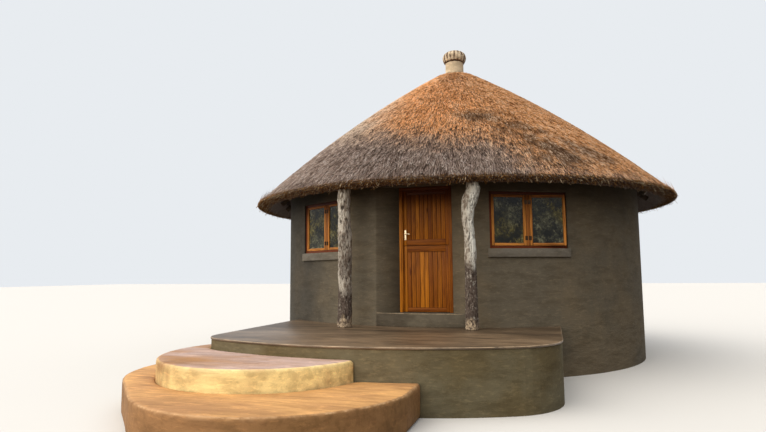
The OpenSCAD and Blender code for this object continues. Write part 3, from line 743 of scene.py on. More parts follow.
def straw_material(look):
    """Loose straws: tufts and single straws differ in tone, and the lower courses carry painted tree shade in
    grey
    """
    net = new_material("Thatch straw")
    # Painted tree shade in grey on the lower courses, painted sunlight above
    grey = painted_tree_shade(net, look)
    usual = net.mix(grey, sunlit_straw(net, look), paint(look.shaded_grey))
    dark = net.mix(1.0, usual, net.mix(grey, (0.24, 0.17, 0.12, 1.0), (0.22, 0.19, 0.18, 1.0)), "MULTIPLY")
    light = net.mix(0.6, usual, net.mix(grey, (0.95, 0.74, 0.54, 1.0), (0.74, 0.67, 0.62, 1.0)))
    shade = net.plus(net.stored("tone"), net.either_way(net.noise(net.place(), 3.0, 5.0, 0.65), 0.6))
    tone = net.mix(net.smooth(shade, 0.2, 0.5), dark, usual)
    tone = net.mix(net.smooth(shade, 0.6, 0.85), tone, light)
    root = net.mix(0.7, tone, paint(look.shaded))
    return net.surface(net.mix(net.smooth(net.stored("tip"), 0.3, 0.75), root, tone), 0.75, 0.15)


def fringe_material(look):
    """Cut straw ends under the eave"""
    net = new_material("Eave straw")
    shade, golden = net.stored("tone"), paint(look.eave_straw)
    tone = net.mix(net.smooth(shade, 0.15, 0.6), paint(look.shaded), golden)
    pale = net.mix(0.65, golden, (0.95, 0.82, 0.58, 1.0))
    return net.surface(net.mix(net.smooth(shade, 0.78, 0.98), tone, pale), 0.8, 0.1)


# Thatch

def straw_shape():
    """Points and triangles of one flattened straw along X, its tip at 0 and its cut end at 1"""
    straw = added(
        bpy.ops.mesh.primitive_cone_add, vertices=3, radius1=0.5, radius2=0, depth=1, location=(0, 0, 0))
    with edit_mode():
        bpy.ops.transform.resize(value=(1, 0.5, 1))
    mesh = straw.data
    mesh.calc_loop_triangles()
    corners = np.array([triangle.vertices[:] for triangle in mesh.loop_triangles])
    points = points_of(mesh)
    bpy.data.objects.remove(straw)
    return np.stack([0.5 - points[:, 2], points[:, 0], points[:, 1]], 1), corners[:, ::-1]


class ThatchOutline:
    """The thatch's outer line, walked from its lower edge up to the top"""

    def __init__(self, pitch):
        points = points_of(NODES["thatch"].data)
        line = np.unique(np.round(np.stack([points[:, 2], across(points)], 1), 4), axis=0)
        rise = line[-1, 0] - line[0, 0]
        keep = [line[0]]
        for height, radius in line[1:]:
            inside = keep[0][1] - (height - keep[0][0]) / math.tan(pitch) + 0.05
            if radius > inside and height > keep[-1][0] + 0.002 * rise or height >= line[-1, 0]:
                keep.append((height, radius))
        self.line = np.array([(radius, height) for height, radius in keep])
        self.reach = np.concatenate([[0], np.cumsum(np.hypot(*np.diff(self.line, axis=0).T))])
        self.whole = self.reach[-1]

    def point(self, along):
        """Radius and height at lengths along the line"""
        along = np.clip(along, 0, self.whole)
        return np.array([np.interp(along, self.reach, self.line[:, k]) for k in (0, 1)])

    def at(self, along):
        """Radius and height at lengths along the line, and the level and upright share of downhill"""
        span = 0.02
        downhill = self.point(along - span) - self.point(along + span)
        return *self.point(along), *(downhill / np.hypot(*downhill))

    def places(self, start, stop, spacing, rng):
        """Jittered places round the roof between two lengths along the line: the lengths, and the turns"""
        found = []
        for row in np.arange(start, min(stop, self.whole - 0.03), spacing):
            count = max(int(2 * math.pi * self.at(row)[0] / spacing), 3)
            turn = (np.arange(count) + rng.random(count)) * 2 * math.pi / count
            along = np.clip(row + (rng.random(count) - 0.5) * 1.6 * spacing, 0, self.whole)
            found.append(np.stack([along, turn], 1))
        return np.concatenate(found).T

    def tufts(self, along, turn, look, rng):
        """Which tuft each place belongs to, as a number, and how many tufts there are"""
        row = np.floor((along + rng.normal(0, 0.02, len(along))) / look.tuft_length).astype(int)
        row = np.clip(row, 0, int(self.whole / look.tuft_length))
        rows = np.arange(row.max() + 1)
        radius = self.at((rows + 0.5) * look.tuft_length)[0]
        round_row = np.maximum(2 * math.pi * radius / look.tuft_width, 6).astype(int)
        first = np.concatenate([[0], np.cumsum(round_row)])
        share = (turn / (2 * math.pi) + rng.random(len(rows))[row]) % 1
        return first[row] + np.floor(share * round_row[row]).astype(int), first[-1]


def lay_straws(name, shape, starts, downs, ups, sizes, tones):
    """One mesh of copies of the straw: points at starts, cut ends along downs, flat sides towards ups"""
    points, corners = shape
    downs = unit(downs)
    sides = unit(np.cross(ups, downs))
    ups = np.cross(downs, sides)
    long, wide = sizes[:, 0, None, None], sizes[:, 1, None, None]
    placed = (starts[:, None, :]
              + points[None, :, 0:1] * long * downs[:, None, :]
              + points[None, :, 1:2] * wide * sides[:, None, :]
              + points[None, :, 2:3] * wide * ups[:, None, :])
    count = len(starts)
    all_corners = corners[None] + (np.arange(count) * len(points))[:, None, None]
    piece = mesh_piece(name, placed.reshape(-1, 3), all_corners.reshape(-1, 3))
    set_values(piece.data, "tone", np.repeat(tones, len(points)))
    set_values(piece.data, "tip", np.tile(points[:, 0], count))
    return piece


def straw_sizes(rng, count, length_range, width_range):
    """Length and width of each straw, each from a usual size and its least share and spread"""
    return np.stack([usual * (least + spread * rng.random(count))
                     for usual, least, spread in (length_range, width_range)], 1)


def round_the_axis(radius, height, turn):
    """Points or directions from their radius, height and turn round the hut, counted from the doorway"""
    return np.stack([radius * np.sin(turn), -radius * np.cos(turn), height], 1)


# Shares of the slope between which the straw is laid as one mesh each
STRAW_RINGS = (0.0, 0.15, 0.32, 0.55, 1.0)


class HUT_OT_thatch(bpy.types.Operator):
    """Draws the thatch's bed in, lays straw on it in tufts, and cuts and loosens the straws of the eave"""
    bl_idname = "hut.thatch"
    bl_label = "Thatch"

    def execute(self, context):
        look = context.scene.hut_thatch
        rng = np.random.default_rng(11)
        outline = ThatchOutline(look.pitch)
        self.draw_bed_in(look, outline)
        shape = straw_shape()
        straw = straw_material(look)
        rings = [look.eave_end + share * (outline.whole - look.eave_end) for share in STRAW_RINGS]
        for k, (low, high) in enumerate(zip(rings, rings[1:])):
            along, turn = outline.places(low, high, look.spacing, rng)
            piece = self.lay_slope(f"thatch_straw_{k + 1}", look, outline, along, turn, shape, rng)
            finish(piece, "hut", "thatch", straw)
        parts = [self.lay_eave(look, outline, shape, rng), self.hang_loose(look, outline, shape, rng)]
        finish(join("eave_straw", parts), "hut", "thatch", fringe_material(look))
        return {"FINISHED"}

    def draw_bed_in(self, look, outline):
        """The thatch itself, drawn in so that the straws' ends lie on the true surface"""
        bed = copy_of("thatch", "thatch_bed")
        points = points_of(bed.data)
        radius = across(points)
        apart = np.hypot(radius[:, None] - outline.line[:, 0], points[:, 2, None] - outline.line[:, 1])
        nearest = apart.argmin(1)
        along = outline.reach[nearest]
        run, fall = outline.at(along)[2:]
        ends = np.clip(np.minimum(along, outline.whole - along) / 0.08, 0, 1)
        drawn = np.where(apart.min(1) < 0.003, look.depth * ends, 0)
        smaller = (radius + drawn * fall) / np.maximum(radius, 0.001)
        points[:, :2] *= smaller[:, None]
        points[:, 2] -= drawn * run
        set_points(bed.data, points)
        finish(bed, "hut", "thatch", thatch_material(look), "thatch", smooth=40)

    def lay_slope(self, name, look, outline, along, turn, shape, rng):
        """Straws whose cut ends lie on the slope, in tufts that differ in height, direction and tone"""
        count = len(turn)
        tuft, tufts = outline.tufts(along, turn, look, rng)
        radius, height, run, fall = outline.at(along)
        down, out = round_the_axis(run, fall, turn), round_the_axis(-fall, run, turn)
        side = np.cross(out, down)
        tuft_sway, tuft_height, tuft_tone = rng.normal(0, 0.45, tufts), rng.random(tufts), rng.random(tufts)
        sway = (tuft_sway[tuft] + rng.normal(0, 0.7, count)) * math.tan(look.spread)
        raised = look.shag * (0.6 * tuft_height[tuft] + 0.4 * rng.random(count) - 0.72)
        sizes = straw_sizes(rng, count, (look.straw_length, 0.65, 0.7), (look.straw_width, 0.6, 0.8))
        rise = (look.depth + raised) / sizes[:, 0]
        heading = unit(down + side * sway[:, None] + out * rise[:, None])
        start = round_the_axis(radius, height, turn) + out * raised[:, None] - heading * sizes[:, :1]
        tones = 0.28 * tuft_tone[tuft] + 0.12 * tuft_height[tuft] + 0.6 * rng.random(count)
        return lay_straws(name, shape, start, heading, out, sizes, tones)

    def lay_eave(self, look, outline, shape, rng):
        """Straw ends on the cut face of the eave"""
        along, turn = outline.places(0.0, look.eave_end + 0.03, look.eave_spacing, rng)
        count = len(turn)
        radius, height, run, fall = outline.at(along)
        out = round_the_axis(-fall, run, turn)
        level = np.full(count, math.cos(look.pitch))
        slopewise = round_the_axis(level, np.full(count, -math.sin(look.pitch)), turn)
        side = np.cross(out, slopewise)
        heading = unit(slopewise + out * 0.3 + side * rng.normal(0, 0.2, count)[:, None])
        sizes = straw_sizes(rng, count, (look.eave_length, 0.7, 0.6), (look.straw_width, 0.5, 0.6))
        tips = round_the_axis(radius, height, turn) + out * (rng.random(count)[:, None] - 0.5) * 0.02
        start = tips - heading * sizes[:, :1]
        return lay_straws("cut_straw", shape, start, heading, out, sizes, rng.random(count))

    def hang_loose(self, look, outline, shape, rng):
        """A few straws that have come loose and hang from the eave"""
        count = look.loose_straws
        along, turn = rng.random(count) * look.eave_end * 0.9, rng.random(count) * 2 * math.pi
        radius, height, run, fall = outline.at(along)
        out = round_the_axis(np.ones(count), np.zeros(count), turn)
        side = np.cross(out, (0, 0, 1))
        fallen = 0.3 + rng.random(count)[:, None]
        heading = unit(out * 0.5 + side * rng.normal(0, 0.5, count)[:, None] - np.array([0, 0, 1]) * fallen)
        sizes = straw_sizes(rng, count, (look.loose_length, 0.5, 0.6), (look.straw_width, 0.6, 0.6))
        held = sizes[:, :1] * (0.55 + 0.3 * rng.random(count)[:, None])
        start = round_the_axis(radius, height, turn) - heading * held
        return lay_straws("loose_straw", shape, start, heading, out, sizes, 0.7 + 0.3 * rng.random(count))


# Finial

class HUT_OT_finial(bpy.types.Operator):
    """Smooths the ribbed crown, darkens its grooves and plasters the neck"""
    bl_idname = "hut.finial"
    bl_label = "Finial"

    def execute(self, context):
        look = context.scene.hut_plaster
        crown = copy_of("finial_crown", "ribbed_finial")
        modify(crown, "SUBSURF", levels=2, render_levels=2)
        points = points_of(crown.data)
        radius = across(points)
        level = np.round(points[:, 2], 2)
        widest = {height: radius[level == height].max() for height in np.unique(level)}
        outer = np.array([widest[height] for height in level])
        set_values(crown.data, "edge", np.clip((1 - radius / np.maximum(outer, 0.01)) / 0.06, 0, 1))
        finish(crown, "hut", "finial_crown", self.crown_material(look), "finial_crown", smooth=60)
        dress(plaster_material("Neck plaster", look.neck, look.crown, 0.4, 0.004), "finial_neck")
        return {"FINISHED"}

    def crown_material(self, look):
        """Cream-brown ribs, darker in the grooves"""
        net = new_material("Ribbed finial")
        place = net.place()
        made = net.group(
            plaster_group(), place=place, base=paint(look.crown), patch=paint(look.neck), trowel=0.3,
            mottle=0.6)
        groove = net.times(net.stored("edge"), 2.2)
        edge = net.group(
            wear_group(), place=place, base=made["Colour"], worn=paint(look.crown_groove), edge=groove)
        return net.surface(edge["Colour"], 0.8, height=made["Height"], depth=0.004)


# Walls and roof frame

# Heights between which the painted shade under the eave comes in
WALL_EAVE_SHADE = (2.85, 3.2)
DOOR_EAVE_SHADE = (2.7, 3.0)
WINDOW_EAVE_SHADE = (2.62, 3.05)


def worn_edges(mesh, top):
    """1 on the rounded upper edge, 0 on flat tops and upright sides"""
    lean = normals_of(mesh)[:, 2]
    near_top = np.clip(1 - (top - points_of(mesh)[:, 2]) / 0.05, 0, 1)
    return np.clip(1 - np.abs(lean - 0.62) / 0.36, 0, 1) * near_top


def worn_slab(node, radius):
    """A copy of a flat node with rounded edges that are marked as worn"""
    slab = copy_of(node, "worn_" + node)
    bevel(slab, radius, 3)
    set_values(slab.data, "edge", worn_edges(slab.data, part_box(node)[1].z))
    return slab


class HUT_OT_plaster(bpy.types.Operator):
    """Plasters walls, ring beam, threshold, sills, floor and plinth, and darkens the roof poles"""
    bl_idname = "hut.plaster"
    bl_label = "Plaster and poles"

    def execute(self, context):
        look = context.scene.hut_plaster
        step = context.scene.hut_steps
        # Wall plaster with painted shade under the eave, painted tree shade on the left, and painted shade
        # and a painted highlight in the door's recess
        wall = plaster_material("Wall plaster", look.wall, look.wall_patch, 1.0, 0.008, 0.42, WALL_EAVE_SHADE)
        dress(wall, "ring_beam", *[name for name in NODES if "wall" in name])
        trodden = worn_material("Threshold", look.threshold, look.wall, step.worn, 0.8)
        doorstep = worn_slab("threshold", look.eased_edge)
        finish(doorstep, "hut", "wall_plaster", trodden, "threshold", smooth=35)
        for node in ("wall_left_of_door", "wall_right_of_door"):
            finish(self.eased_wall(node, look), "hut", "wall_plaster", wall, node, smooth=20)
        sill = plaster_material("Sill plaster", look.sill, look.wall_patch, 0.5)
        for name in ("left_window_sill", "right_window_sill"):
            band = copy_of(name, name.replace("sill", "sill_band"))
            bevel(band, look.eased_edge, 3)
            finish(band, "hut", "sill_plaster", sill, name, smooth=35)
        dress(plaster_material("Floor screed", step.screed, step.riser, 0.3), "floor_slab")
        # The plinth takes the same painted tree shade on the left as the wall
        plinth = plaster_material("Plinth masonry", look.wall, look.wall_patch, 1.5, 0.012, 0.42, WALL_EAVE_SHADE)
        dress(plinth, "plinth")
        dress(self.pole_material(), "rafters", "battens", "apex_block")
        return {"FINISHED"}

    def eased_wall(self, node, look):
        """A copy of a wall beside the door, with the upright corner of the recess rounded as by hand, and
        points that store where the recess's painted shade and its corner's painted highlight go
        """
        wall = copy_of(node, node + "_eased")
        points = points_of(wall.data)
        radius = across(points)
        outer = np.flatnonzero(radius > radius.max() - 0.002)
        corner = points[outer[np.abs(points[outer, 0]).argmin()]]
        first, last = ends_of(wall.data, across(points - corner) < 0.001)
        bevel_chosen(wall, first & last, look.arris)
        points = points_of(wall.data)
        inward = np.abs(corner[0]) - np.abs(points[:, 0])
        # Painted shade in the recess, deeper inwards and stronger on the left reveal
        side = 1.0 if corner[0] < 0 else 0.35
        painted_light_tone = side * look.recess * np.clip(inward / 0.3 + 0.12, 0, 1)
        set_values(wall.data, "recess", painted_light_tone * (inward > 0.004))
        # Where the painted highlight of the recess's corner goes
        set_values(wall.data, "arris", np.clip(1 - (across(points - corner) - look.arris) / 0.3, 0, 1))
        return wall

    def pole_material(self):
        """Dark, raw poles"""
        net = new_material("Roof pole")
        knots = net.noise(net.place(), 14.0, 4.0, 0.65)
        tone = net.mix(net.smooth(knots, 0.35, 0.65), (0.035, 0.022, 0.013, 1.0), (0.11, 0.07, 0.04, 1.0))
        return net.surface(tone, 0.8, height=knots, depth=0.006)


# Terrace and steps

class HUT_OT_steps(bpy.types.Operator):
    """Rounds and wears the edges of the terrace and the two crescent steps"""
    bl_idname = "hut.steps"
    bl_label = "Terrace and steps"

    def execute(self, context):
        look = context.scene.hut_steps
        riser = plaster_material("Terrace render", look.riser, look.riser_patch)
        screed = worn_material("Terrace screed", look.screed, look.screed_stain, look.worn, 0.4, 0.003,
                               mottle=0.9, gloss=0.45, specular=0.5, brush=(0.45, 1.7, 1.0))
        # The upper riser's colour is painted sunlight and the lower riser's painted tree shade
        for node, base, top in (("upper_step", look.step, look.tread),
                                ("lower_step", look.lower, look.lower_tread)):
            step = worn_material(node.replace("_", " ").capitalize(), base, look.step_stain, look.worn_step,
                                 top=top, gloss=0.2, brush=(0.6, 1.4, 1.0))
            piece = self.worn_copy(node, look)
            finish(piece, "hut", "step_plaster", step, node, smooth=50)
        dress(riser, "terrace")
        slab = worn_slab("terrace_screed", look.nosing)
        finish(slab, "hut", "terrace_screed", screed, "terrace_screed", smooth=50)
        return {"FINISHED"}

    def worn_copy(self, node, look):
        """A copy of a step with rounded edges and a hand-worked surface"""
        piece = copy_of(node, "worn_" + node)
        bevel(piece, look.round_edge, 3)
        modify(piece, "REMESH", mode="VOXEL", voxel_size=look.cell)
        modify(piece, "SMOOTH", iterations=7)
        mesh = piece.data
        points, normals = points_of(mesh), normals_of(mesh)
        low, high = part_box(node)
        shift = np.array([noise.noise(Vector(p) * 1.9) + 0.4 * noise.noise(Vector(p) * 7.0) for p in points])
        raised = np.clip((points[:, 2] - low.z) / 0.1, 0, 1)
        set_points(mesh, points + normals * (shift * raised * look.waviness)[:, None])
        set_values(mesh, "edge", worn_edges(mesh, high.z))
        set_values(mesh, "level", np.clip(normals_of(mesh)[:, 2], 0, 1))
        return piece


# Posts

# For each post: how much painted light its right side takes, how far that side swells, and its dark slits,
# each with its height, its turn to the right and its size
POSTS = {
    "left_post": (0.0, 0.024, ((2.74, -0.05, 0.016), (2.51, -0.15, 0.012), (0.98, 0.3, 0.02),
                               (1.35, -0.3, 0.01))),
    "right_post": (1.0, 0.0, ((2.2, 0.1, 0.016), (1.62, 0.5, 0.014))),
}


class HUT_OT_posts(bpy.types.Operator):
    """Sculpts the two rough log posts"""
    bl_idname = "hut.posts"
    bl_label = "Log posts"

    def execute(self, context):
        look = context.scene.hut_logs
        material = self.log_material(look)
        for node, (pale, swell, slits) in POSTS.items():
            piece = copy_of(node, node.replace("post", "log"))
            modify(piece, "REMESH", mode="VOXEL", voxel_size=look.cell)
            self.sculpt(piece.data, look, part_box(node), pale, swell, slits)
            finish(piece, "hut", "weathered_log", material, node, smooth=70)
        return {"FINISHED"}

    def sculpt(self, mesh, look, box, pale, swell, slits):
        """Moves the points along their normals: bark, lumps, cracks, slits and the swell of the right side"""
        points, normals = points_of(mesh), normals_of(mesh)
        low, high = box
        ends = np.clip(np.minimum(points[:, 2] - low.z, high.z - points[:, 2]) / 0.04, 0, 1)
        upright = 1 - np.abs(normals[:, 2])
        cracks, lumps, wander = np.empty((3, len(points)))
        for k, (x, y, z) in enumerate(points):
            ridge = abs(noise.noise(Vector((x * 34, y * 34, z * 5.5))))
            fine = abs(noise.noise(Vector((x * 62, y * 62, z * 15.0 + 9))))
            wander[k] = noise.noise(Vector((x * 8, y * 8, z * 2.5 + 4)))
            cracks[k] = max(0.0, 1 - ridge / 0.16) + 0.45 * max(0.0, 1 - fine / 0.2)
            lumps[k] = noise.noise(Vector((x * 7, y * 7, z * 3.4)))
            lumps[k] += 0.5 * noise.noise(Vector((x * 19, y * 19, z * 9)))
        turn = np.arctan2(normals[:, 0], -normals[:, 1])
        hollows = np.zeros(len(points))
        for height, side, size in slits:
            near = np.hypot((points[:, 2] - height) / (2.2 * size), (turn - side) * 0.07 / size)
            hollows = np.maximum(hollows, np.clip(1.5 - near, 0, 1))
        depth = look.bark + look.lump * lumps - look.crack_depth * np.minimum(cracks, 1.2)
        depth -= look.slit_depth * hollows
        height = points[:, 2] - low.z
        swollen = np.clip(height / 0.4, 0, 1) * np.clip((look.swell_top - height) / 0.4, 0, 1)
        depth += swell * np.clip(normals[:, 0], 0, 1) * swollen
        set_points(mesh, points + normals * (depth * ends * np.clip(upright * 2, 0, 1))[:, None])
        # Where the material paints shade into the cracks and slits
        set_values(mesh, "crack", np.clip(cracks * 0.8 + hollows, 0, 1) * ends)
        set_values(mesh, "wet", np.clip((look.damp_height - height + wander) / 0.5 + 0.5, 0, 1))
        # Painted light on the right side of the crooked log
        rightward = np.clip(normals[:, 0] * 1.1 + 0.25, 0, 1)
        over = np.clip((height - look.painted_light_from + 0.4 * wander) / 0.5, 0, 1)
        set_values(mesh, "pale", pale * (rightward * over))
        set_values(mesh, "dust", np.clip((look.dust_height - height + 0.2 * wander) / 0.08, 0, 1))

    def log_material(self, look):
        """Silver-grey wood, brown where bark is left, darkened and dusty low down, with painted light on the
        crooked log's right side and painted shade in its cracks
        """
        net = new_material("Weathered log")
        place = net.place()
        fibres = net.noise(net.stretch(place, (1.0, 1.0, 0.16)), 70.0, 4.0, 0.65)
        bark = net.noise(net.stretch(place, (1.0, 1.0, 0.45)), 15.0, 5.0, 0.65)
        flecks = net.noise(net.stretch(place, (1.0, 1.0, 0.5)), 40.0, 3.0, 0.7)
        pits = net.smooth(flecks, 0.6, 0.74, 0.55)
        tone = paint(look.silver)
        for share, covering in (
                (net.smooth(bark, 0.46, 0.62), look.brown),
                (net.smooth(fibres, 0.45, 0.68, 0.65), look.brown),
                # Painted light on the crooked log's right side
                (net.times(net.stored("pale"), net.smooth(bark, 0.68, 0.5)), look.pale),
                (net.times(net.stored("wet"), net.smooth(flecks, 0.72, 0.52)), look.darkened),
                # Painted shade in the sculpted cracks and slits; the pits are dark flecks of the wood
                (net.most(net.smooth(net.stored("crack"), 0.3, 1.0, 0.8), pits), look.hollow),
                (net.times(net.stored("dust"), net.smooth(flecks, 0.35, 0.6)), look.dust)):
            tone = net.mix(share, tone, paint(covering))
        return net.surface(tone, 0.85, 0.2, fibres, 0.004)


# Joinery

def member(low, high, along, rng, tone, edge=0.003):
    """One planed length of wood between two corners, its grain along X or Z, its eased edges kept as seams"""
    low, high = Vector(low), Vector(high)
    piece = block((low + high) / 2, high - low)
    bevel(piece, edge, 2)
    points = points_of(piece.data)
    turned = {"X": [2, 1, 0], "Z": [0, 1, 2]}[along]
    on_face = (np.abs(points - low) < edge / 20) | (np.abs(points - high) < edge / 20)
    set_values(piece.data, "grain_place", points[:, turned] + rng.random(3) * 20)
    set_values(piece.data, "tone", np.full(len(points), tone))
    set_values(piece.data, "seam", ~on_face.any(axis=1))
    return piece


def rectangle_of_members(low, high, bar, rng, tone, edge=0.003):
    """Two uprights with two rails between them"""
    (left, front, bottom), (right, back, top) = low, high
    return [member((left, front, bottom), (left + bar, back, top), "Z", rng, tone, edge),
            member((right - bar, front, bottom), (right, back, top), "Z", rng, tone, edge),
            member((left + bar, front, bottom), (right - bar, back, bottom + bar), "X", rng, tone, edge),
            member((left + bar, front, top - bar), (right - bar, back, top), "X", rng, tone, edge)]


# Knots in the boards: X, height and reach
DOOR_KNOTS = ((-0.275, 1.69, 0.032), (-0.262, 1.78, 0.02), (0.02, 2.72, 0.022))
# Tone of each board from the left, 0 for the usual varnish and 1 for the lightest
UPPER_TONES = (0.2, 0.45, 0.75, 0.3, 0.6, 0.15, 0.5, 0.3, 0.5)
LOWER_TONES = (0.15, 0.35, 0.25, 0.8, 0.75, 0.0, 0.2, 0.4, 0.05)


class HUT_OT_door(bpy.types.Operator):
    """Builds both boarded leaves, the frame, the lever and the hinges' finish"""
    bl_idname = "hut.door"
    bl_label = "Stable door"

    def execute(self, context):
        look = context.scene.hut_door
        rng = np.random.default_rng(5)
        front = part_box("lower_leaf")[0].y
        knots = [(x, front, z, reach) for x, z, reach in DOOR_KNOTS]
        boards = wood_material("Door boards", look, DOOR_EAVE_SHADE, knots)
        for half, rails, tones in (("upper", (look.meeting_rail, look.stile), UPPER_TONES),
                                   ("lower", (look.stile, look.meeting_rail), LOWER_TONES)):
            leaf = self.leaf(half + "_leaf", rails, tones, look, rng)
            finish(leaf, half + "_door_leaf", "door_boards", boards, half + "_leaf", smooth=30)
        self.door_frame(look, boards, rng)
        steel = metal_material("Hinge steel", look.steel, 0.35)
        dress(steel, "frame_hinges", "upper_leaf_hinges", "lower_leaf_hinges", "window_hinges")
        self.lever(look, metal_material("Brass", look.brass, 0.3))
        return {"FINISHED"}

    def lever(self, look, material):
        """Plate, boss, spindle and a lever with a swept end, on both faces of the leaf"""
        low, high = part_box("lever_handle")
        leaf_low, leaf_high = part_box("upper_leaf")
        x = leaf_low.x + look.stile / 2 + look.plate_shift
        z = high.z - 0.4 * look.plate_height
        parts = []
        for face, out, limit in ((leaf_low.y, -1, low.y), (leaf_high.y, 1, high.y)):
            parts.append(self.plate(look, x, face, out, z - 0.1 * look.plate_height))
            reach = abs(limit - face) - look.lever_radius
            for radius, depth in ((look.boss, look.boss_depth), (look.spindle, reach)):
                parts.append(pin((x, face + out * depth / 2, z), radius, depth, 20))
                bevel(parts[-1], 0.0015, 2, 50)
            parts.append(self.grip(look, x, face + out * reach, high.x, z))
        piece = join("brass_lever", parts)
        finish(piece, "upper_door_leaf", "handle_brass", material, "lever_handle", smooth=40)

    def plate(self, look, x, face, out, z):
        """Flat plate on the stile, its corners rounded and a keyhole cut through"""
        depth = look.plate_depth
        plate = block((x, face + out * depth / 2, z), (look.plate_width, depth, look.plate_height))
        first, last = ends_of(plate.data, points_of(plate.data))
        bevel_chosen(plate, np.abs(first[:, 1] - last[:, 1]) > depth / 2, look.plate_corner)
        bevel(plate, 0.0009, 2)
        keyhole = pin((x, face, z - 0.25 * look.plate_height), look.keyhole, depth * 3, 16)
        modify(plate, "BOOLEAN", operation="DIFFERENCE", object=keyhole)
        bpy.data.objects.remove(keyhole)
        return plate

    def grip(self, look, x, y, end, z):
        """The lever itself: level from the spindle, its end swept down a little"""
        grip = added(bpy.ops.curve.primitive_bezier_curve_add, location=(0, 0, 0))
        radius = look.lever_radius
        first, last = grip.data.splines[0].bezier_points
        tip = end - radius
        for point, place, before, after in (
                (first, (x, y, z), (x - 0.02, y, z), (x + 0.4 * (tip - x), y, z + 0.004)),
                (last, (tip, y, z - 0.006), (x + 0.7 * (tip - x), y, z + 0.002), (tip + 0.02, y, z - 0.012))):
            point.handle_left_type = "FREE"
            point.handle_right_type = "FREE"
            point.co, point.handle_left, point.handle_right = place, before, after
        grip.data.bevel_depth = radius
        grip.data.bevel_resolution = 4
        grip.data.resolution_u = 14
        grip.data.use_fill_caps = True
        look_at_only(grip)
        bpy.ops.object.convert(target="MESH")
        grip = bpy.context.object
        bevel(grip, 0.003, 3, 60)
        return grip

    def leaf(self, node, rails, tones, look, rng):
        """Two stiles, two rails and the boards between them"""
        low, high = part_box(node)
        left, right = low.x + look.stile, high.x - look.stile
        bottom, top = low.z + rails[0], high.z - rails[1]
        front, back = low.y, high.y
        # Painted light: the left stile has a lighter tone than the right one
        parts = [member((low.x, front, low.z), (left, back, high.z), "Z", rng, 0.8),
                 member((right, front, low.z), (high.x, back, high.z), "Z", rng, 0.2),
                 member((left, front, low.z), (right, back, bottom), "X", rng, 0.0),
                 member((left, front, top), (right, back, high.z), "X", rng, 0.05)]
        width = (right - left) / look.boards
        for k in range(look.boards):
            start = left + k * width
            parts.append(member((start + look.seam / 2, front + look.inset, bottom),
                                (start + width - look.seam / 2, back - look.inset, top), "Z", rng,
                                tones[k % len(tones)], look.groove))
        return join(node.replace("leaf", "boarded_leaf"), parts)

    def door_frame(self, look, material, rng):
        """Two jambs, the head, and the stops in front of the leaves"""
        low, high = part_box("door_frame")
        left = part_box("upper_leaf")[0].x - look.gap
        right = -left
        head = high.z - (left - low.x)
        front, back, stop = low.y, high.y, low.y + look.stop_depth
        face, inner = front + 0.002, (left + look.stop, right - look.stop)
        # Painted light: the left jamb and the left stop have lighter tones than the right ones
        parts = [member((low.x, front, low.z), (left, back, high.z), "Z", rng, 0.8),
                 member((right, front, low.z), (high.x, back, high.z), "Z", rng, 0.1),
                 member((left, front, head), (right, back, high.z), "X", rng, 0.3),
                 member((left, face, low.z), (inner[0], stop, head), "Z", rng, 0.9, 0.002),
                 member((inner[1], face, low.z), (right, stop, head), "Z", rng, 0.3, 0.002),
                 member((inner[0], face, head - look.stop), (inner[1], stop, head), "X", rng, 0.2, 0.002)]
        finish(join("door_frame_wood", parts), "hut", "varnished_wood", material, "door_frame", smooth=30)


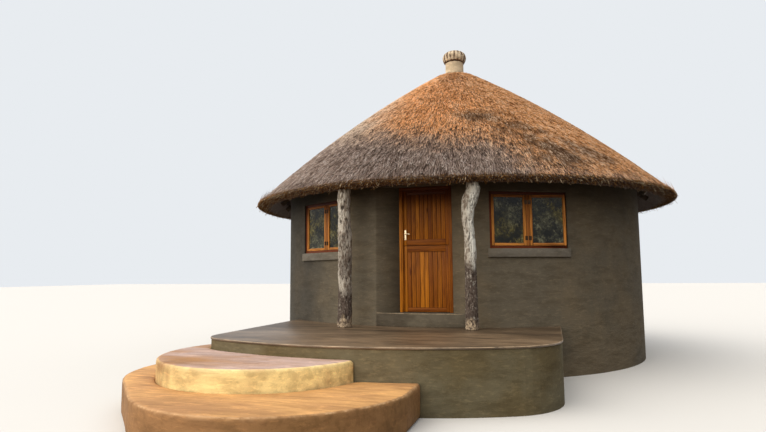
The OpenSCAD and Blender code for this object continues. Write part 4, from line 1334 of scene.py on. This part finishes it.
class HUT_OT_windows(bpy.types.Operator):
    """Builds both timber windows with their casements and glass"""
    bl_idname = "hut.windows"
    bl_label = "Windows"

    def execute(self, context):
        look = context.scene.hut_windows
        rng = np.random.default_rng(8)
        wood = wood_material("Window wood", look, WINDOW_EAVE_SHADE)
        for side, ajar in (("left", 0.0), ("right", look.ajar)):
            turn, low, high = self.straight_on(side + "_window_frame")
            frame = join(side + "_window_frame_wood", self.frame_members(low, high, look, rng))
            leaves = [join("casement", self.casement_members(low, high, sign, look, rng)) for sign in (-1, 1)]
            self.swing(leaves[1], (look.mullion + look.gap) / 2, low.y - look.hinge_out, -ajar)
            casements = join(side + "_window_casements_wood", leaves)
            for piece, node in ((frame, side + "_window_frame"), (casements, side + "_window_casements")):
                self.swing(piece, 0, 0, turn)
                finish(piece, "hut", "varnished_wood", wood, node, smooth=30)
        dress(self.glass_material(look), "window_glass")
        return {"FINISHED"}

    def straight_on(self, node):
        """Direction of a window round the hut, and the corners of its frame when it is turned to face -Y"""
        low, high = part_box(node)
        middle = (low + high) / 2
        turn = math.atan2(middle.x, -middle.y)
        points = points_of(NODES[node].data) @ np.array(Matrix.Rotation(-turn, 3, "Z")).T
        return turn, Vector(points.min(0)), Vector(points.max(0))

    def swing(self, piece, x, y, turn):
        """Turns a piece about an upright line"""
        there = Matrix.Translation((x, y, 0))
        piece.matrix_world = there @ Matrix.Rotation(turn, 4, "Z") @ there.inverted()
        settle(piece)

    def lights(self, low, high, look):
        """Left and right edges of the two lights"""
        half = look.mullion / 2
        return {-1: (low.x + look.bar, -half), 1: (half, high.x - look.bar)}

    def frame_members(self, low, high, look, rng):
        """Outer members, the mullion, and the rebates that the casements shut against"""
        bottom, top = low.z + look.bar, high.z - look.bar
        rebate_front = low.y + look.casement_depth
        parts = rectangle_of_members(low, high, look.bar, rng, 0.05)
        half = look.mullion / 2
        parts.append(member((-half, low.y, bottom), (half, high.y, top), "Z", rng, 0.45, 0.005))
        for left, right in self.lights(low, high, look).values():
            corners = (left, rebate_front, bottom), (right, high.y, top)
            parts += rectangle_of_members(*corners, look.rebate, rng, 0.1, 0.002)
        return parts

    def casement_members(self, low, high, sign, look, rng):
        left, right = self.lights(low, high, look)[sign]
        margin = look.bar + look.gap
        return rectangle_of_members(
            (left + look.gap, low.y, low.z + margin),
            (right - look.gap, low.y + look.casement_depth, high.z - margin),
            look.casement_bar, rng, 0.75, 0.005)

    def glass_material(self, look):
        """Dark window glass with greenish patches of dust and painted reflection"""
        net = new_material("Window glass")
        place = net.place()
        patches = net.smooth(net.noise(place, 4.0, 4.0, 0.65), 0.38, 0.62, 0.72)
        specks = net.smooth(net.noise(net.stretch(place, (1.0, 1.0, 0.8)), 20.0, 6.0, 0.85), 0.46, 0.7)
        # Where the patches of dust and painted reflection lie
        dust = net.times(net.plus(0.16, specks), net.plus(0.05, patches))
        greyer = net.smooth(net.noise(place, 1.3, 2.0), 0.42, 0.56)
        film = net.mix(greyer, paint(look.painted_light_tone), paint(look.haze_and_reflection))
        tone, roughness = net.mix(dust, paint(look.glass), film), net.plus(0.04, net.times(dust, 0.2))
        return net.surface(tone, roughness, 0.12, plain=(("Transmission Weight", 0.35), ("IOR", 1.45)))


# Stage

class HUT_OT_stage(bpy.types.Operator):
    """Sets the camera, the pale floor, the soft world and the key lamp"""
    bl_idname = "hut.stage"
    bl_label = "Stage and camera"

    def execute(self, context):
        look = context.scene.hut_stage
        self.add_camera(context, look)
        self.add_floor(look)
        self.light_world(context, look)
        self.add_lamp(look)
        context.scene.view_settings.view_transform = "Standard"
        return {"FINISHED"}

    def add_camera(self, context, look):
        camera = bpy.data.objects.new("Camera", bpy.data.cameras.new("Camera"))
        context.scene.collection.objects.link(camera)
        camera.data.sensor_width = 36
        camera.data.lens = look.lens
        camera.data.clip_end = 300
        camera.matrix_world = Matrix.Translation(look.place)
        for turn, axis in ((look.yaw, "Z"), (math.pi / 2 + look.pitch, "X"), (look.roll, "Z")):
            camera.matrix_world = camera.matrix_world @ Matrix.Rotation(turn, 4, axis)
        context.scene.camera = camera

    def add_floor(self, look):
        """A floor that looks pale and throws back the light of bare earth"""
        floor = added(bpy.ops.mesh.primitive_plane_add, size=160, location=(0, 0, 0))
        floor.name = "studio_floor"
        net = new_material("Studio floor")
        tone = net.mix(self.seen(net), paint(look.bounce), paint(look.floor))
        floor.data.materials.append(net.surface(tone, 0.9))

    def seen(self, net):
        """1 for what the camera sees, also in metal and through glass"""
        path = net.add("LightPath").outputs
        mirrored = net.plus(path["Is Glossy Ray"], path["Is Transmission Ray"])
        return net.plus(path["Is Camera Ray"], mirrored, clamp=True)

    def light_world(self, context, look):
        """Soft light, strongest from overhead and the left, behind a backdrop that looks pale"""
        world = bpy.data.worlds.new("Studio")
        world.use_nodes = True
        context.scene.world = world
        net = NodeNet(world.node_tree)
        light = world.node_tree.nodes["Background"]
        light.inputs["Color"].default_value = (0.95, 0.97, 1.0, 1.0)
        axes = net.axes(net.add("TexCoord").outputs["Generated"])
        overhead = net.smooth(axes["Z"], 0.1, 0.6, look.fill * (1 - look.horizon))
        even = net.plus(overhead, look.fill * look.horizon)
        side = net.minus(1.0, net.times(axes["X"], look.uneven))
        net.feed(light.inputs["Strength"], net.times(even, side))
        pale = net.add("Background", {"Color": paint(look.backdrop), "Strength": 1.0})
        mixed = net.add("MixShader", {0: self.seen(net), 1: light.outputs[0], 2: pale.outputs[0]})
        net.feed(world.node_tree.nodes["World Output"].inputs["Surface"], mixed.outputs[0])

    def add_lamp(self, look):
        """A warm, soft key lamp from the front left"""
        level = math.cos(look.sun_height)
        side, front = math.sin(look.sun_side), math.cos(look.sun_side)
        heading = Vector((side * level, front * level, -math.sin(look.sun_height)))
        lamp = bpy.data.lights.new("Key", "SUN")
        lamp.energy = look.sun
        lamp.color = (1.0, 0.92, 0.8)
        lamp.angle = look.sun_size
        holder = bpy.data.objects.new("Key", lamp)
        holder.rotation_euler = heading.to_track_quat("-Z", "Y").to_euler()
        bpy.context.scene.collection.objects.link(holder)


# Registration

SETTINGS = {"hut_thatch": HutThatchLooks, "hut_plaster": HutPlasterLooks, "hut_steps": HutStepLooks,
            "hut_logs": HutLogLooks, "hut_door": HutDoorSizes, "hut_windows": HutWindowSizes,
            "hut_stage": HutStageLooks}
OPERATORS = (HUT_OT_stage, HUT_OT_plaster, HUT_OT_steps, HUT_OT_thatch, HUT_OT_finial, HUT_OT_posts,
             HUT_OT_door, HUT_OT_windows)


class HUT_PT_panel(bpy.types.Panel):
    """Lists the hut's operators in the sidebar"""
    bl_idname = "HUT_PT_panel"
    bl_label = "Thatched hut"
    bl_space_type = "VIEW_3D"
    bl_region_type = "UI"
    bl_category = "Hut"

    def draw(self, context):
        for operator in OPERATORS:
            self.layout.operator(operator.bl_idname)


def register():
    for kind in (*SETTINGS.values(), *OPERATORS, HUT_PT_panel):
        bpy.utils.register_class(kind)
    for name, kind in SETTINGS.items():
        setattr(bpy.types.Scene, name, bpy.props.PointerProperty(type=kind))


def unregister():
    for name in SETTINGS:
        delattr(bpy.types.Scene, name)
    for kind in (HUT_PT_panel, *OPERATORS, *SETTINGS.values()):
        bpy.utils.unregister_class(kind)


def main():
    register()
    bpy.ops.hut.stage()
    bpy.ops.hut.plaster()
    bpy.ops.hut.steps()
    bpy.ops.hut.thatch()
    bpy.ops.hut.finial()
    bpy.ops.hut.posts()
    bpy.ops.hut.door()
    bpy.ops.hut.windows()


if __name__ == "__main__":
    main()
